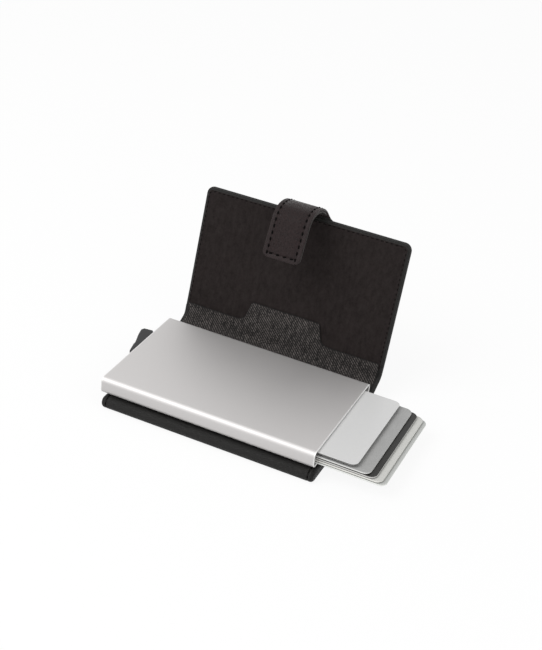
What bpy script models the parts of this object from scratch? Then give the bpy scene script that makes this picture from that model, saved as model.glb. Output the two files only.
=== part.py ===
"""Card holder: an aluminium card case on a leather base, with a hinged leather cover and a strap.

Metres, +Z up. The origin lies on the flat underside of the leather base, below the middle of the case.
+X is the way the cards slide out, +Y is the side of the fold.
The cover stands open, the strap hangs over its free edge, and the lever has pushed the cards out.
"""

import bpy
import bmesh
from math import atan2, cos, hypot, pi, radians, sin, tan
from mathutils import Matrix

# Clearances
GAP = 0.0003                    # between pieces that touch
CUT_OVERRUN = 0.002             # how far a cutter reaches past what it cuts
WELD = 0.000001

# Cards
CARD_LENGTH = 0.0856
CARD_WIDTH = 0.054
CARD_THICKNESS = 0.00076
CARD_CORNER = 0.00318
CARD_SIDE_SHIFT = -0.00135      # the stack lies a little towards the front wall
CARD_SIDE_ROOM = 0.0074         # both sides together, between the cards and the inside walls
CARD_STORED_RECESS = 0.0009     # front edges inside the mouth when the cards are stored
CARD_PROTRUSIONS = (0.0173, 0.0232, 0.0259, 0.0288, 0.0305)    # past the mouth, top card first
CARD_COLOURS = (
    (0.80, 0.80, 0.81), (0.46, 0.46, 0.46), (0.035, 0.034, 0.03), (0.72, 0.71, 0.66), (0.62, 0.64, 0.62))

# Case
CASE_LENGTH = 0.102
CASE_HEIGHT = 0.008
CASE_WALL = 0.0008
CASE_CORNER = 0.0013

# End cap
CAP_DEPTH = 0.003
CAP_LIP = 0.0005
CAP_CORNER = 0.0003
SLOT_REAR_END = 0.0189          # from the middle of the case
SLOT_FRONT_END = 0.0140

# Ejector lever
LEVER_SWING = radians(78)       # from pushed out to stored
PIVOT_INSET = 0.0095            # from the closed end of the case
PIVOT_SIDE = 0.0005             # from the middle of the case towards the fold
PIN_RADIUS = 0.001
PIN_CLEARANCE = 0.0001          # running fit of the lever on its pin
HUB_RADIUS = 0.003
ARM_WIDTH = 0.0026
ARM_REACH = 0.0293              # longest step, for the lowest card
ARM_ANGLE = radians(20)         # from the way the cards slide, when pushed out
ARM_CLEAR_RADIUS = 0.0039       # full height starts outside the hub
RIM_RADIUS = 0.0138
RIM_START_RADIUS = 0.0125
RIM_START = radians(-13)
RIM_END = radians(12)
THUMB_RADIUS = 0.0229
THUMB_ANGLE = radians(43)
THUMB_BACK_RADIUS = 0.0236
THUMB_BACK_ANGLE = radians(47)
HEEL_RADIUS = 0.0215
HEEL_ANGLE = radians(56)
FLANK_POWER = 1.8

# Friction strips
GRIP_LENGTH = 0.052
GRIP_START = 0.006              # from the mouth

# Base
LEATHER_WIDTH = 0.102
LEATHER_SHIFT = 0.001           # the leather sits a little towards the mouth
LEATHER = 0.001                 # thickness of the outer leather
BASE_HEIGHT = 0.0058
BASE_LIP = 0.0017               # from the case's front to the base's
BASE_TOP_INSET = 0.0005         # the top panel ends short of the case's rear
BASE_REAR_RADIUS = 0.003
PAD_THICKNESS = 0.0004
PAD_INSET = 0.004
PAD_CORNER = 0.003
BOARD_REAR_INSET = 0.004
MAGNET_RADIUS = 0.005
BASE_MAGNET_THICKNESS = 0.0014

# Folds
FOLD_STANDOFF = 0.0017          # from the case's rear to the axis of the fold between base and spine
FOLD_Z = 0.005
FOLD_REACH = 0.00085            # from a fold axis to the round end of the leather
CLOSING_ROOM = 0.0004           # between the case's top and the pocket when the cover is closed
SPINE_RISE = radians(27.07)        # the spine above the horizontal, as it stands open
COVER_LEAN = radians(13.57)      # the cover behind the vertical, as it stands open
SPINE_LINING = 0.0006
SPINE_LINING_START = 0.0012
SPINE_LINING_END = 0.0035       # short of the cover's fold, so that the fold can close

# Cover
COVER_SHORTFALL = 0.0012        # the closed cover ends short of the case's front
COVER_CORNER = 0.0036
COVER_LAYER_START = 0.0018
COVER_BOARD = 0.0005
COVER_BOARD_INSET = 0.003
COVER_LINING = 0.0007
POCKET_THICKNESS = 0.0005
POCKET_SIDE_INSET = 0.0003
POCKET_BAND = 0.0061            # height of the pocket's edge above the fold
POCKET_TAB_RISE = 0.0098
POCKET_TAB_TOP = 0.0346
POCKET_TAB_FOOT = 0.0400
POCKET_FILLET = 0.0032
POCKET_TAB_CORNER = 0.0016

# Strap
STRAP_WIDTH = 0.0180
STRAP_LINING = 0.0008
STRAP_FLARE = 0.0042
STRAP_ROOT_RADIUS = 0.003
STRAP_RISE = radians(28)        # slope of the strap where it leaves the cover's edge
STRAP_SPAN = 0.018              # straight across the arch, which spans the closed front
STRAP_CREASE_RADIUS = 0.0035
STRAP_HANG = radians(78)        # slope of the hanging end
STRAP_TIP_LENGTH = 0.0188
STRAP_TIP_CORNER = 0.0026
STRAP_TONGUE = 0.0009           # what the cover's own leather reaches past its edge
STRAP_HINGE_REACH = 0.0007
STRAP_LINING_START = 0.002
STRAP_LINING_CREASE = 0.0008
STRAP_MAGNET_INSET = 0.0075     # from the strap's end to the magnet's centre
MAGNET_POCKET = 0.0004          # how deep each strap layer is hollowed for the magnet

# Derived heights
BASE_TOP = BASE_HEIGHT
PAD_BOTTOM = BASE_TOP + GAP
CASE_BOTTOM = PAD_BOTTOM + PAD_THICKNESS + GAP
CASE_INSIDE = CASE_BOTTOM + CASE_WALL
CASE_CEILING = CASE_BOTTOM + CASE_HEIGHT - CASE_WALL
CASE_MIDDLE = CASE_BOTTOM + CASE_HEIGHT / 2
INSIDE_WIDTH = CARD_WIDTH + CARD_SIDE_ROOM
CASE_WIDTH = INSIDE_WIDTH + 2 * CASE_WALL
MOUTH_X = CASE_LENGTH / 2
CLOSED_X = -CASE_LENGTH / 2
PIVOT_X = CLOSED_X + PIVOT_INSET
HALF_LEATHER = LEATHER / 2
LINING_OFFSET = HALF_LEATHER + GAP
BASE_FRONT = CASE_WIDTH / 2 + BASE_LIP
BASE_TOP_END = CASE_WIDTH / 2 - BASE_TOP_INSET
FOLD_Y = CASE_WIDTH / 2 + FOLD_STANDOFF
COVER_STACK = LINING_OFFSET + COVER_BOARD + GAP + COVER_LINING + GAP + POCKET_THICKNESS
SPINE_LENGTH = CASE_BOTTOM + CASE_HEIGHT + CLOSING_ROOM + COVER_STACK - FOLD_Z
COVER_LENGTH = FOLD_Y + CASE_WIDTH / 2 - COVER_SHORTFALL

ARC_STEPS = 8
FINE_STEPS = 14
BAND_STEPS = 20

for thing in list(bpy.data.objects):
    bpy.data.objects.remove(thing, do_unlink=True)

parts = bpy.data.collections.new("Leather card holder")
cutters = bpy.data.collections.new("Cutters")
bpy.context.scene.collection.children.link(parts)
bpy.context.scene.collection.children.link(cutters)

SIDE_PROFILE = Matrix(((0, 0, 1), (1, 0, 0), (0, 1, 0)))       # outline (a, b) to (Y, Z), thickness along X
COVER_PLAN = Matrix(((1, 0, 0), (0, 0, -1), (0, 1, 0)))        # outline (a, b) to (X, Z), thickness along Y
FLAT_PLAN = Matrix.Identity(3)                                 # outline (a, b) to (X, Y), thickness along Z


def material(name, colour, roughness, metallic=0.0):
    surface = bpy.data.materials.new(name)
    surface.use_nodes = True
    shader = surface.node_tree.nodes["Principled BSDF"]
    shader.inputs["Base Color"].default_value = (*colour, 1.0)
    shader.inputs["Roughness"].default_value = roughness
    shader.inputs["Metallic"].default_value = metallic
    return surface


def arc(centre, radius, start, end, steps=ARC_STEPS):
    """Points on a circle from one angle to another, both ends included."""
    turns = [start + (end - start) * step / steps for step in range(steps + 1)]
    return [(centre[0] + radius * cos(turn), centre[1] + radius * sin(turn)) for turn in turns]


def round_rectangle(low, high, radius, steps=ARC_STEPS):
    (left, bottom), (right, top) = low, high
    corners = ((right - radius, bottom + radius, -pi / 2), (right - radius, top - radius, 0.0),
               (left + radius, top - radius, pi / 2), (left + radius, bottom + radius, pi))
    points = []
    for x, y, start in corners:
        points += arc((x, y), radius, start, start + pi / 2, steps)
    return points


def solid_mesh(name, outlines, thickness, turn, shift=(0, 0, 0)):
    """A flat outline (the first) with holes (the others), given its thickness and turned into place."""
    curve = bpy.data.curves.new(name, "CURVE")
    curve.dimensions = "2D"
    curve.fill_mode = "BOTH"
    curve.extrude = thickness / 2
    for outline in outlines:
        spline = curve.splines.new("POLY")
        spline.points.add(len(outline) - 1)
        for point, (a, b) in zip(spline.points, outline):
            point.co = (a, b, 0.0, 1.0)
        spline.use_cyclic_u = True
    guide = bpy.data.objects.new(name + "_outline", curve)
    bpy.context.scene.collection.objects.link(guide)
    depsgraph = bpy.context.evaluated_depsgraph_get()
    mesh = bpy.data.meshes.new_from_object(guide.evaluated_get(depsgraph))
    bpy.data.objects.remove(guide, do_unlink=True)
    body = bmesh.new()
    body.from_mesh(mesh)
    bmesh.ops.remove_doubles(body, verts=body.verts, dist=WELD)
    bmesh.ops.transform(body, matrix=Matrix.Translation(shift) @ turn.to_4x4(), verts=body.verts)
    bmesh.ops.recalc_face_normals(body, faces=body.faces)
    body.to_mesh(mesh)
    body.free()
    mesh.materials.clear()
    mesh.name = name
    return mesh


def ease_edges(mesh, chosen, width, steps):
    """Rounds the edges whose two ends both pass the test."""
    body = bmesh.new()
    body.from_mesh(mesh)
    bmesh.ops.dissolve_limit(body, angle_limit=radians(1), verts=body.verts, edges=body.edges)
    edges = [edge for edge in body.edges if chosen(edge.verts[0].co, edge.verts[1].co)]
    bmesh.ops.bevel(body, geom=edges, offset=width, segments=steps, profile=0.5, affect="EDGES")
    body.to_mesh(mesh)
    body.free()


def place(name, mesh, surface, parent=None, location=(0, 0, 0), rotation=(0, 0, 0)):
    item = bpy.data.objects.new(name, mesh)
    item.location = location
    item.rotation_euler = rotation
    item.parent = parent
    mesh.materials.append(surface)
    mesh.shade_smooth()
    mesh.set_sharp_from_angle(angle=radians(35))
    parts.objects.link(item)
    return item


def axis_frame(name, location, rotation=(0, 0, 0), parent=None):
    """An empty on a joint's axis, which carries the pieces that turn about it."""
    frame = bpy.data.objects.new(name, None)
    frame.location = location
    frame.rotation_euler = rotation
    frame.parent = parent
    frame.empty_display_size = FOLD_REACH
    parts.objects.link(frame)
    return frame


def cut(item, mesh, operation="DIFFERENCE", parent=None, location=(0, 0, 0), rotation=(0, 0, 0)):
    cutter = bpy.data.objects.new(f"{item.name}_{operation.lower()}_{len(item.modifiers)}", mesh)
    cutter.location = location
    cutter.rotation_euler = rotation
    cutter.parent = parent
    cutter.hide_render = True
    cutter.display_type = "WIRE"
    cutters.objects.link(cutter)
    step = item.modifiers.new(cutter.name, "BOOLEAN")
    step.operation = operation
    step.object = cutter
    step.solver = "EXACT"


def cylinder_mesh(name, radius, height, centre=(0, 0, 0), segments=32):
    mesh = bpy.data.meshes.new(name)
    body = bmesh.new()
    bmesh.ops.create_cone(
        body, cap_ends=True, segments=segments, radius1=radius, radius2=radius, depth=height,
        matrix=Matrix.Translation(centre))
    body.to_mesh(mesh)
    body.free()
    return mesh


def card_levels():
    """Heights of the cards' undersides: the top one lies against the ceiling, the others are a stack."""
    stack = [CASE_INSIDE + GAP + step * (CARD_THICKNESS + GAP) for step in range(len(CARD_PROTRUSIONS) - 1)]
    return [CASE_CEILING - GAP - CARD_THICKNESS] + stack[::-1]


def build_case():
    aluminium = material("satin_aluminium", (0.74, 0.74, 0.73), 0.32, 1.0)
    outside = round_rectangle(
        (-CASE_WIDTH / 2, CASE_BOTTOM), (CASE_WIDTH / 2, CASE_BOTTOM + CASE_HEIGHT), CASE_CORNER)
    inside = round_rectangle(
        (-INSIDE_WIDTH / 2, CASE_INSIDE), (INSIDE_WIDTH / 2, CASE_CEILING), CASE_CORNER - CASE_WALL)
    mesh = solid_mesh("case_tube", [outside, inside], CASE_LENGTH, SIDE_PROFILE)
    place("case_tube", mesh, aluminium)


def build_end_cap():
    """Insert that closes the end: a slotted wall with two tongues that hold the lever's pin."""
    plastic = material("dark_plastic", (0.030, 0.030, 0.032), 0.45)
    half_width = INSIDE_WIDTH / 2 - GAP
    tongue_end = PIVOT_X + HUB_RADIUS + GAP
    tongue_half = HUB_RADIUS + GAP
    wall_x = CLOSED_X + CAP_DEPTH
    tongue_centre = (tongue_end - tongue_half, PIVOT_SIDE)
    outline = [(CLOSED_X, -half_width), (wall_x, -half_width), (wall_x, PIVOT_SIDE - tongue_half)]
    outline += arc(tongue_centre, tongue_half, -pi / 2, pi / 2)
    outline += [(wall_x, PIVOT_SIDE + tongue_half), (wall_x, half_width), (CLOSED_X, half_width)]
    height = CASE_CEILING - CASE_INSIDE - 2 * GAP
    mesh = solid_mesh("end_cap", [outline], height, FLAT_PLAN, (0, 0, CASE_MIDDLE))

    def on_side(a, b):
        same_side = a.y * b.y > 0 and min(abs(a.y), abs(b.y)) > half_width - WELD
        return same_side and abs(a.x - b.x) > CAP_DEPTH / 2

    ease_edges(mesh, on_side, CAP_CORNER, 2)
    cap = place("end_cap", mesh, plastic)
    slot = [(CLOSED_X - CUT_OVERRUN, -SLOT_FRONT_END), (tongue_end + CUT_OVERRUN, -SLOT_FRONT_END),
            (tongue_end + CUT_OVERRUN, SLOT_REAR_END), (CLOSED_X - CUT_OVERRUN, SLOT_REAR_END)]
    cut(cap, solid_mesh("slot", [slot], height - 2 * CAP_LIP, FLAT_PLAN, (0, 0, CASE_MIDDLE)))
    hole_height = CASE_HEIGHT + CUT_OVERRUN
    cut(cap, cylinder_mesh("pin_hole", PIN_RADIUS + PIN_CLEARANCE, hole_height),
        location=(PIVOT_X, PIVOT_SIDE, CASE_MIDDLE))
    steel = material("pin_steel", (0.6, 0.6, 0.6), 0.3, 1.0)
    place("lever_pin", cylinder_mesh("lever_pin", PIN_RADIUS, height), steel,
          location=(PIVOT_X, PIVOT_SIDE, CASE_MIDDLE))


def arm_steps():
    """How far each step of the arm reaches: the lowest card has the longest step."""
    longest = max(CARD_PROTRUSIONS)
    return [ARM_REACH - (longest - protrusion) / cos(ARM_ANGLE) for protrusion in CARD_PROTRUSIONS]


def arm_outline(bottom, top, web_bottom, web_top):
    """Side view of the stepped arm, length along a and height along b."""
    levels = card_levels()
    reaches = arm_steps()
    outline = [(0.0, web_bottom), (ARM_CLEAR_RADIUS, web_bottom), (ARM_CLEAR_RADIUS, bottom)]
    for number in range(len(reaches) - 1, 0, -1):
        tread = (levels[number] + CARD_THICKNESS + levels[number - 1]) / 2
        below = outline[-1][1]
        outline += [(reaches[number], below), (reaches[number], tread)]
    outline += [(reaches[0], outline[-1][1]), (reaches[0], top), (ARM_CLEAR_RADIUS, top)]
    outline += [(ARM_CLEAR_RADIUS, web_top), (0.0, web_top)]
    return outline


def build_lever():
    plastic = material("lever_plastic", (0.045, 0.045, 0.047), 0.5)
    pivot = axis_frame("lever_axis", (PIVOT_X, PIVOT_SIDE, 0))
    bottom = CASE_INSIDE + GAP
    top = CASE_CEILING - GAP
    web_bottom = bottom + CAP_LIP + GAP
    web_top = top - CAP_LIP - GAP
    web_middle = (web_bottom + web_top) / 2

    def polar(radius, angle):
        return (-radius * cos(angle), radius * sin(angle))

    outline = [polar(RIM_START_RADIUS, RIM_START)]
    for step in range(ARC_STEPS + 1):
        share = step / ARC_STEPS
        angle = RIM_END + (THUMB_ANGLE - RIM_END) * share
        outline.append(polar(RIM_RADIUS + (THUMB_RADIUS - RIM_RADIUS) * share ** FLANK_POWER, angle))
    outline += [polar(THUMB_BACK_RADIUS, THUMB_BACK_ANGLE), polar(HEEL_RADIUS, HEEL_ANGLE)]
    outline += [polar(HUB_RADIUS, HEEL_ANGLE + pi / 2), polar(HUB_RADIUS, pi + RIM_START)]
    outline += [polar(HUB_RADIUS, RIM_START - pi / 2)]
    mesh = solid_mesh("ejector_lever", [outline], web_top - web_bottom, FLAT_PLAN, (0, 0, web_middle))

    def on_outer_side(a, b):
        far = min(hypot(a.x, a.y), hypot(b.x, b.y)) > RIM_START_RADIUS - CAP_CORNER
        return far and abs(a.z - b.z) < WELD and max(a.x, b.x) < -HUB_RADIUS

    ease_edges(mesh, on_outer_side, CAP_CORNER, 2)
    lever = place("ejector_lever", mesh, plastic, parent=pivot)
    hub = cylinder_mesh("hub", HUB_RADIUS + WELD, web_top - web_bottom)
    cut(lever, hub, "UNION", pivot, (0, 0, web_middle))
    arm = solid_mesh("arm", [arm_outline(bottom, top, web_bottom, web_top)], ARM_WIDTH, COVER_PLAN)
    cut(lever, arm, "UNION", pivot, rotation=(0, 0, ARM_ANGLE))
    cut(lever, cylinder_mesh("lever_bore", PIN_RADIUS + PIN_CLEARANCE, CASE_HEIGHT), parent=pivot,
        location=(0, 0, CASE_MIDDLE))


def build_cards():
    levels = card_levels()
    for number, protrusion in enumerate(CARD_PROTRUSIONS):
        outline = round_rectangle(
            (-CARD_LENGTH, -CARD_WIDTH / 2), (0.0, CARD_WIDTH / 2), CARD_CORNER)
        name = f"card_{number + 1}"
        mesh = solid_mesh(name, [outline], CARD_THICKNESS, FLAT_PLAN, (0, 0, CARD_THICKNESS / 2))
        surface = material(f"card_print_{number + 1}", CARD_COLOURS[number], 0.35)
        place(name, mesh, surface, location=(MOUTH_X + protrusion, CARD_SIDE_SHIFT, levels[number]))


def build_grips():
    """Two strips on the side walls, which brake the cards by their edges."""
    felt = material("grip_felt", (0.05, 0.05, 0.05), 0.95)
    bottom = CASE_INSIDE + GAP
    top = CASE_CEILING - GAP
    start = MOUTH_X - GRIP_START - GRIP_LENGTH
    for name, side in (("card_grip_front", -1), ("card_grip_rear", 1)):
        wall = side * (INSIDE_WIDTH / 2 - GAP)
        card_edge = CARD_SIDE_SHIFT + side * (CARD_WIDTH / 2 + GAP)
        low, high = sorted((wall, card_edge))
        outline = [(low, bottom), (high, bottom), (high, top), (low, top)]
        mesh = solid_mesh(name, [outline], GRIP_LENGTH, SIDE_PROFILE, (start + GRIP_LENGTH / 2, 0, 0))
        place(name, mesh, felt)


def build_base(leather):
    """Padded leather base: a folded skin round a board, open at the rear under the case."""
    board_grey = material("board_grey", (0.25, 0.24, 0.22), 0.9)
    nose = BASE_HEIGHT / 2
    rear_wall = FOLD_Y + HALF_LEATHER
    wall_top = FOLD_Z - FOLD_REACH
    skin = arc((-BASE_FRONT + nose, nose), nose, pi / 2, 3 * pi / 2, FINE_STEPS)
    rear_outer = BASE_REAR_RADIUS + HALF_LEATHER
    skin += arc((rear_wall - rear_outer, rear_outer), rear_outer, -pi / 2, 0.0)
    skin += arc((FOLD_Y, wall_top), HALF_LEATHER, 0.0, pi)
    skin += [(BASE_TOP_END, wall_top), (BASE_TOP_END, BASE_TOP)]
    centre_x = (LEATHER_SHIFT, 0, 0)
    base_mesh = solid_mesh("base_leather", [skin], LEATHER_WIDTH, SIDE_PROFILE, centre_x)
    base = place("base_leather", base_mesh, leather)
    inner_nose = nose - LEATHER
    inner_rear = BASE_REAR_RADIUS - HALF_LEATHER
    hollow = arc((-BASE_FRONT + nose, nose), inner_nose, pi / 2, 3 * pi / 2, FINE_STEPS)
    hollow += arc((FOLD_Y - HALF_LEATHER - inner_rear, LEATHER + inner_rear), inner_rear, -pi / 2, 0.0)
    hollow += [(FOLD_Y - HALF_LEATHER, BASE_HEIGHT - LEATHER)]
    hollow_width = LEATHER_WIDTH - 2 * LEATHER
    cut(base, solid_mesh("base_hollow", [hollow], hollow_width, SIDE_PROFILE, centre_x))

    board_low = LEATHER + GAP
    board_high = BASE_HEIGHT - LEATHER - GAP
    board_round = (board_high - board_low) / 2
    core = arc((-BASE_FRONT + nose, nose), board_round, pi / 2, 3 * pi / 2)
    core += [(BASE_TOP_END - BOARD_REAR_INSET, board_low), (BASE_TOP_END - BOARD_REAR_INSET, board_high)]
    board_mesh = solid_mesh("base_board", [core], hollow_width - 2 * GAP, SIDE_PROFILE, centre_x)
    board = place("base_board", board_mesh, board_grey)
    magnet_y = FOLD_Y - closed_magnet_reach()
    magnet_steel = material("magnet_nickel", (0.65, 0.64, 0.62), 0.25, 1.0)
    pocket_depth = BASE_MAGNET_THICKNESS + GAP
    cut(board, cylinder_mesh("magnet_pocket", MAGNET_RADIUS + GAP, pocket_depth + CUT_OVERRUN),
        location=(LEATHER_SHIFT, magnet_y, board_low + (pocket_depth - CUT_OVERRUN) / 2))
    place("base_magnet", cylinder_mesh("base_magnet", MAGNET_RADIUS, BASE_MAGNET_THICKNESS), magnet_steel,
          location=(LEATHER_SHIFT, magnet_y, board_low + BASE_MAGNET_THICKNESS / 2))

    pad = round_rectangle(
        (-CASE_LENGTH / 2 + PAD_INSET, -BASE_TOP_END + PAD_INSET),
        (CASE_LENGTH / 2 - PAD_INSET, BASE_TOP_END - PAD_INSET), PAD_CORNER)
    pad_middle = PAD_BOTTOM + PAD_THICKNESS / 2
    pad_mesh = solid_mesh("case_pad", [pad], PAD_THICKNESS, FLAT_PLAN, (0, 0, pad_middle))
    place("case_pad", pad_mesh, material("adhesive_foam", (0.06, 0.06, 0.06), 0.9))


def build_spine(leather, canvas, fold):
    sheet = arc((0, SPINE_LENGTH - FOLD_REACH), HALF_LEATHER, 0.0, pi)
    sheet += arc((0, FOLD_REACH), HALF_LEATHER, pi, 2 * pi)
    sheet_mesh = solid_mesh("spine_leather", [sheet], LEATHER_WIDTH, SIDE_PROFILE)
    place("spine_leather", sheet_mesh, leather, parent=fold)
    near = -LINING_OFFSET
    far = near - SPINE_LINING
    end = SPINE_LENGTH - SPINE_LINING_END
    lining = [(far, SPINE_LINING_START), (near, SPINE_LINING_START), (near, end), (far, end)]
    width = LEATHER_WIDTH - 2 * POCKET_SIDE_INSET
    lining_mesh = solid_mesh("spine_lining", [lining], width, SIDE_PROFILE)
    place("spine_lining", lining_mesh, canvas, parent=fold)


def cover_outline(start, width, tongue):
    """The cover's plan, X across and up to the free edge, with the strap's flared root where asked."""
    half = width / 2
    top = COVER_LENGTH
    points = [(-half, start), (half, start)]
    points += arc((half - COVER_CORNER, top - COVER_CORNER), COVER_CORNER, 0.0, pi / 2)
    if tongue:
        edge = STRAP_WIDTH / 2
        turns = [step / ARC_STEPS * pi / 2 for step in range(ARC_STEPS + 1)]
        flare = [(edge + STRAP_FLARE * (1 - sin(turn)), top + STRAP_TONGUE * (1 - cos(turn)))
                 for turn in turns]
        points += flare + [(-x, y) for x, y in flare[::-1]]
    points += arc((-half + COVER_CORNER, top - COVER_CORNER), COVER_CORNER, pi / 2, pi)
    return points


def pocket_outline():
    """Pocket edge with a raised tab: a straight band, hollow fillets, slanted sides, small top corners."""
    half = LEATHER_WIDTH / 2 - POCKET_SIDE_INSET
    band = POCKET_BAND
    top = band + POCKET_TAB_RISE
    foot = POCKET_TAB_FOOT / 2
    shoulder = POCKET_TAB_TOP / 2
    side_angle = atan2(POCKET_TAB_RISE, foot - shoulder)
    easing = tan(side_angle / 2)
    corner = (shoulder - POCKET_TAB_CORNER * easing, top - POCKET_TAB_CORNER)
    hollow = (foot + POCKET_FILLET * easing, band + POCKET_FILLET)
    right = arc(hollow, POCKET_FILLET, -pi / 2, -pi / 2 - side_angle)
    right += arc(corner, POCKET_TAB_CORNER, pi / 2 - side_angle, pi / 2)
    left = [(-x, y) for x, y in right[::-1]]
    foot_line = [(-half, band), (-half, COVER_LAYER_START), (half, COVER_LAYER_START), (half, band)]
    return foot_line + right + left


def build_cover(leather, canvas, fold):
    lining_surface = material("cover_lining", (0.022, 0.018, 0.017), 0.85)
    board_surface = material("cover_board", (0.25, 0.24, 0.22), 0.9)
    start = FOLD_REACH - HALF_LEATHER
    mesh = solid_mesh("cover_leather", [cover_outline(start, LEATHER_WIDTH, True)], LEATHER, COVER_PLAN)
    tongue_top = COVER_LENGTH + STRAP_TONGUE

    def on_turned_end(a, b):
        low = max(a.z, b.z) < start + WELD
        high = min(a.z, b.z) > tongue_top - WELD
        return (low or high) and abs(a.y - b.y) < WELD

    ease_edges(mesh, on_turned_end, HALF_LEATHER * 0.98, 4)
    place("cover_leather", mesh, leather, parent=fold)

    board_middle = -LINING_OFFSET - COVER_BOARD / 2
    board = round_rectangle(
        (-LEATHER_WIDTH / 2 + COVER_BOARD_INSET, COVER_LAYER_START),
        (LEATHER_WIDTH / 2 - COVER_BOARD_INSET, COVER_LENGTH - COVER_BOARD_INSET), COVER_CORNER)
    lining_middle = board_middle - COVER_BOARD / 2 - GAP - COVER_LINING / 2
    lining = cover_outline(COVER_LAYER_START, LEATHER_WIDTH, False)
    pocket_middle = lining_middle - COVER_LINING / 2 - GAP - POCKET_THICKNESS / 2
    for name, outline, thickness, middle, surface in (
            ("cover_board", board, COVER_BOARD, board_middle, board_surface),
            ("cover_lining", lining, COVER_LINING, lining_middle, lining_surface),
            ("pocket_panel", pocket_outline(), POCKET_THICKNESS, pocket_middle, canvas)):
        sheet = solid_mesh(name, [outline], thickness, COVER_PLAN, (0, middle, 0))
        place(name, sheet, surface, parent=fold)


def strap_runs():
    """The strap's path as runs of (length, first slope, last slope), with slopes from the cover's normal."""
    arch_radius = STRAP_SPAN / 2 / sin(STRAP_RISE)
    return (
        (STRAP_ROOT_RADIUS * (pi / 2 - STRAP_RISE), pi / 2, STRAP_RISE),
        (arch_radius * 2 * STRAP_RISE, STRAP_RISE, -STRAP_RISE),
        (STRAP_CREASE_RADIUS * (STRAP_HANG - STRAP_RISE), -STRAP_RISE, -STRAP_HANG),
        (STRAP_TIP_LENGTH, -STRAP_HANG, -STRAP_HANG))


def strap_point(distance, outward=0.0):
    """A point on the strap in the cover's frame: Y away from the case, Z towards the free edge."""
    forward, up = 0.0, COVER_LENGTH + STRAP_TONGUE
    slope = pi / 2
    left = distance
    for length, first, last in strap_runs():
        walked = min(left, length)
        share = walked / length
        slope = first + (last - first) * share
        if abs(last - first) < WELD:
            forward += walked * cos(first)
            up += walked * sin(first)
        else:
            radius = length / (first - last)
            forward += radius * (sin(first) - sin(slope))
            up += radius * (cos(slope) - cos(first))
        left -= walked
        if left <= 0:
            break
    return (-forward + outward * sin(slope), up + outward * cos(slope)), slope


def strap_length():
    return sum(length for length, first, last in strap_runs())


def crease_distance():
    root, arch, crease, tip = strap_runs()
    return root[0] + arch[0] + crease[0] / 2


def closed_magnet_reach():
    """How far the strap's magnet lies from the base fold, along the closed cover."""
    after_crease = strap_length() - crease_distance() - STRAP_MAGNET_INSET
    (crease_y, crease_up), slope = strap_point(crease_distance())
    return crease_up - after_crease


def strap_band(first, last, inner, outer, origin, steps, round_first, round_last):
    """Side profile of a strap layer between two distances along it, with round or square ends."""
    stations = [first + (last - first) * step / steps for step in range(steps + 1)]
    upper = [strap_point(station, outer)[0] for station in stations]
    lower = [strap_point(station, inner)[0] for station in stations]
    middle = (inner + outer) / 2
    half = (outer - inner) / 2

    def end_cap(distance, turn):
        (y, z), slope = strap_point(distance, middle)
        outward_angle = atan2(cos(slope), sin(slope))
        return arc((y, z), half, outward_angle, outward_angle + turn, ARC_STEPS)[1:-1]

    points = upper
    if round_last:
        points = points + end_cap(last, pi)
    points = points + lower[::-1]
    if round_first:
        points = points + end_cap(first, -pi)[::-1]
    return [(y - origin[0], z - origin[1]) for y, z in points]


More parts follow.
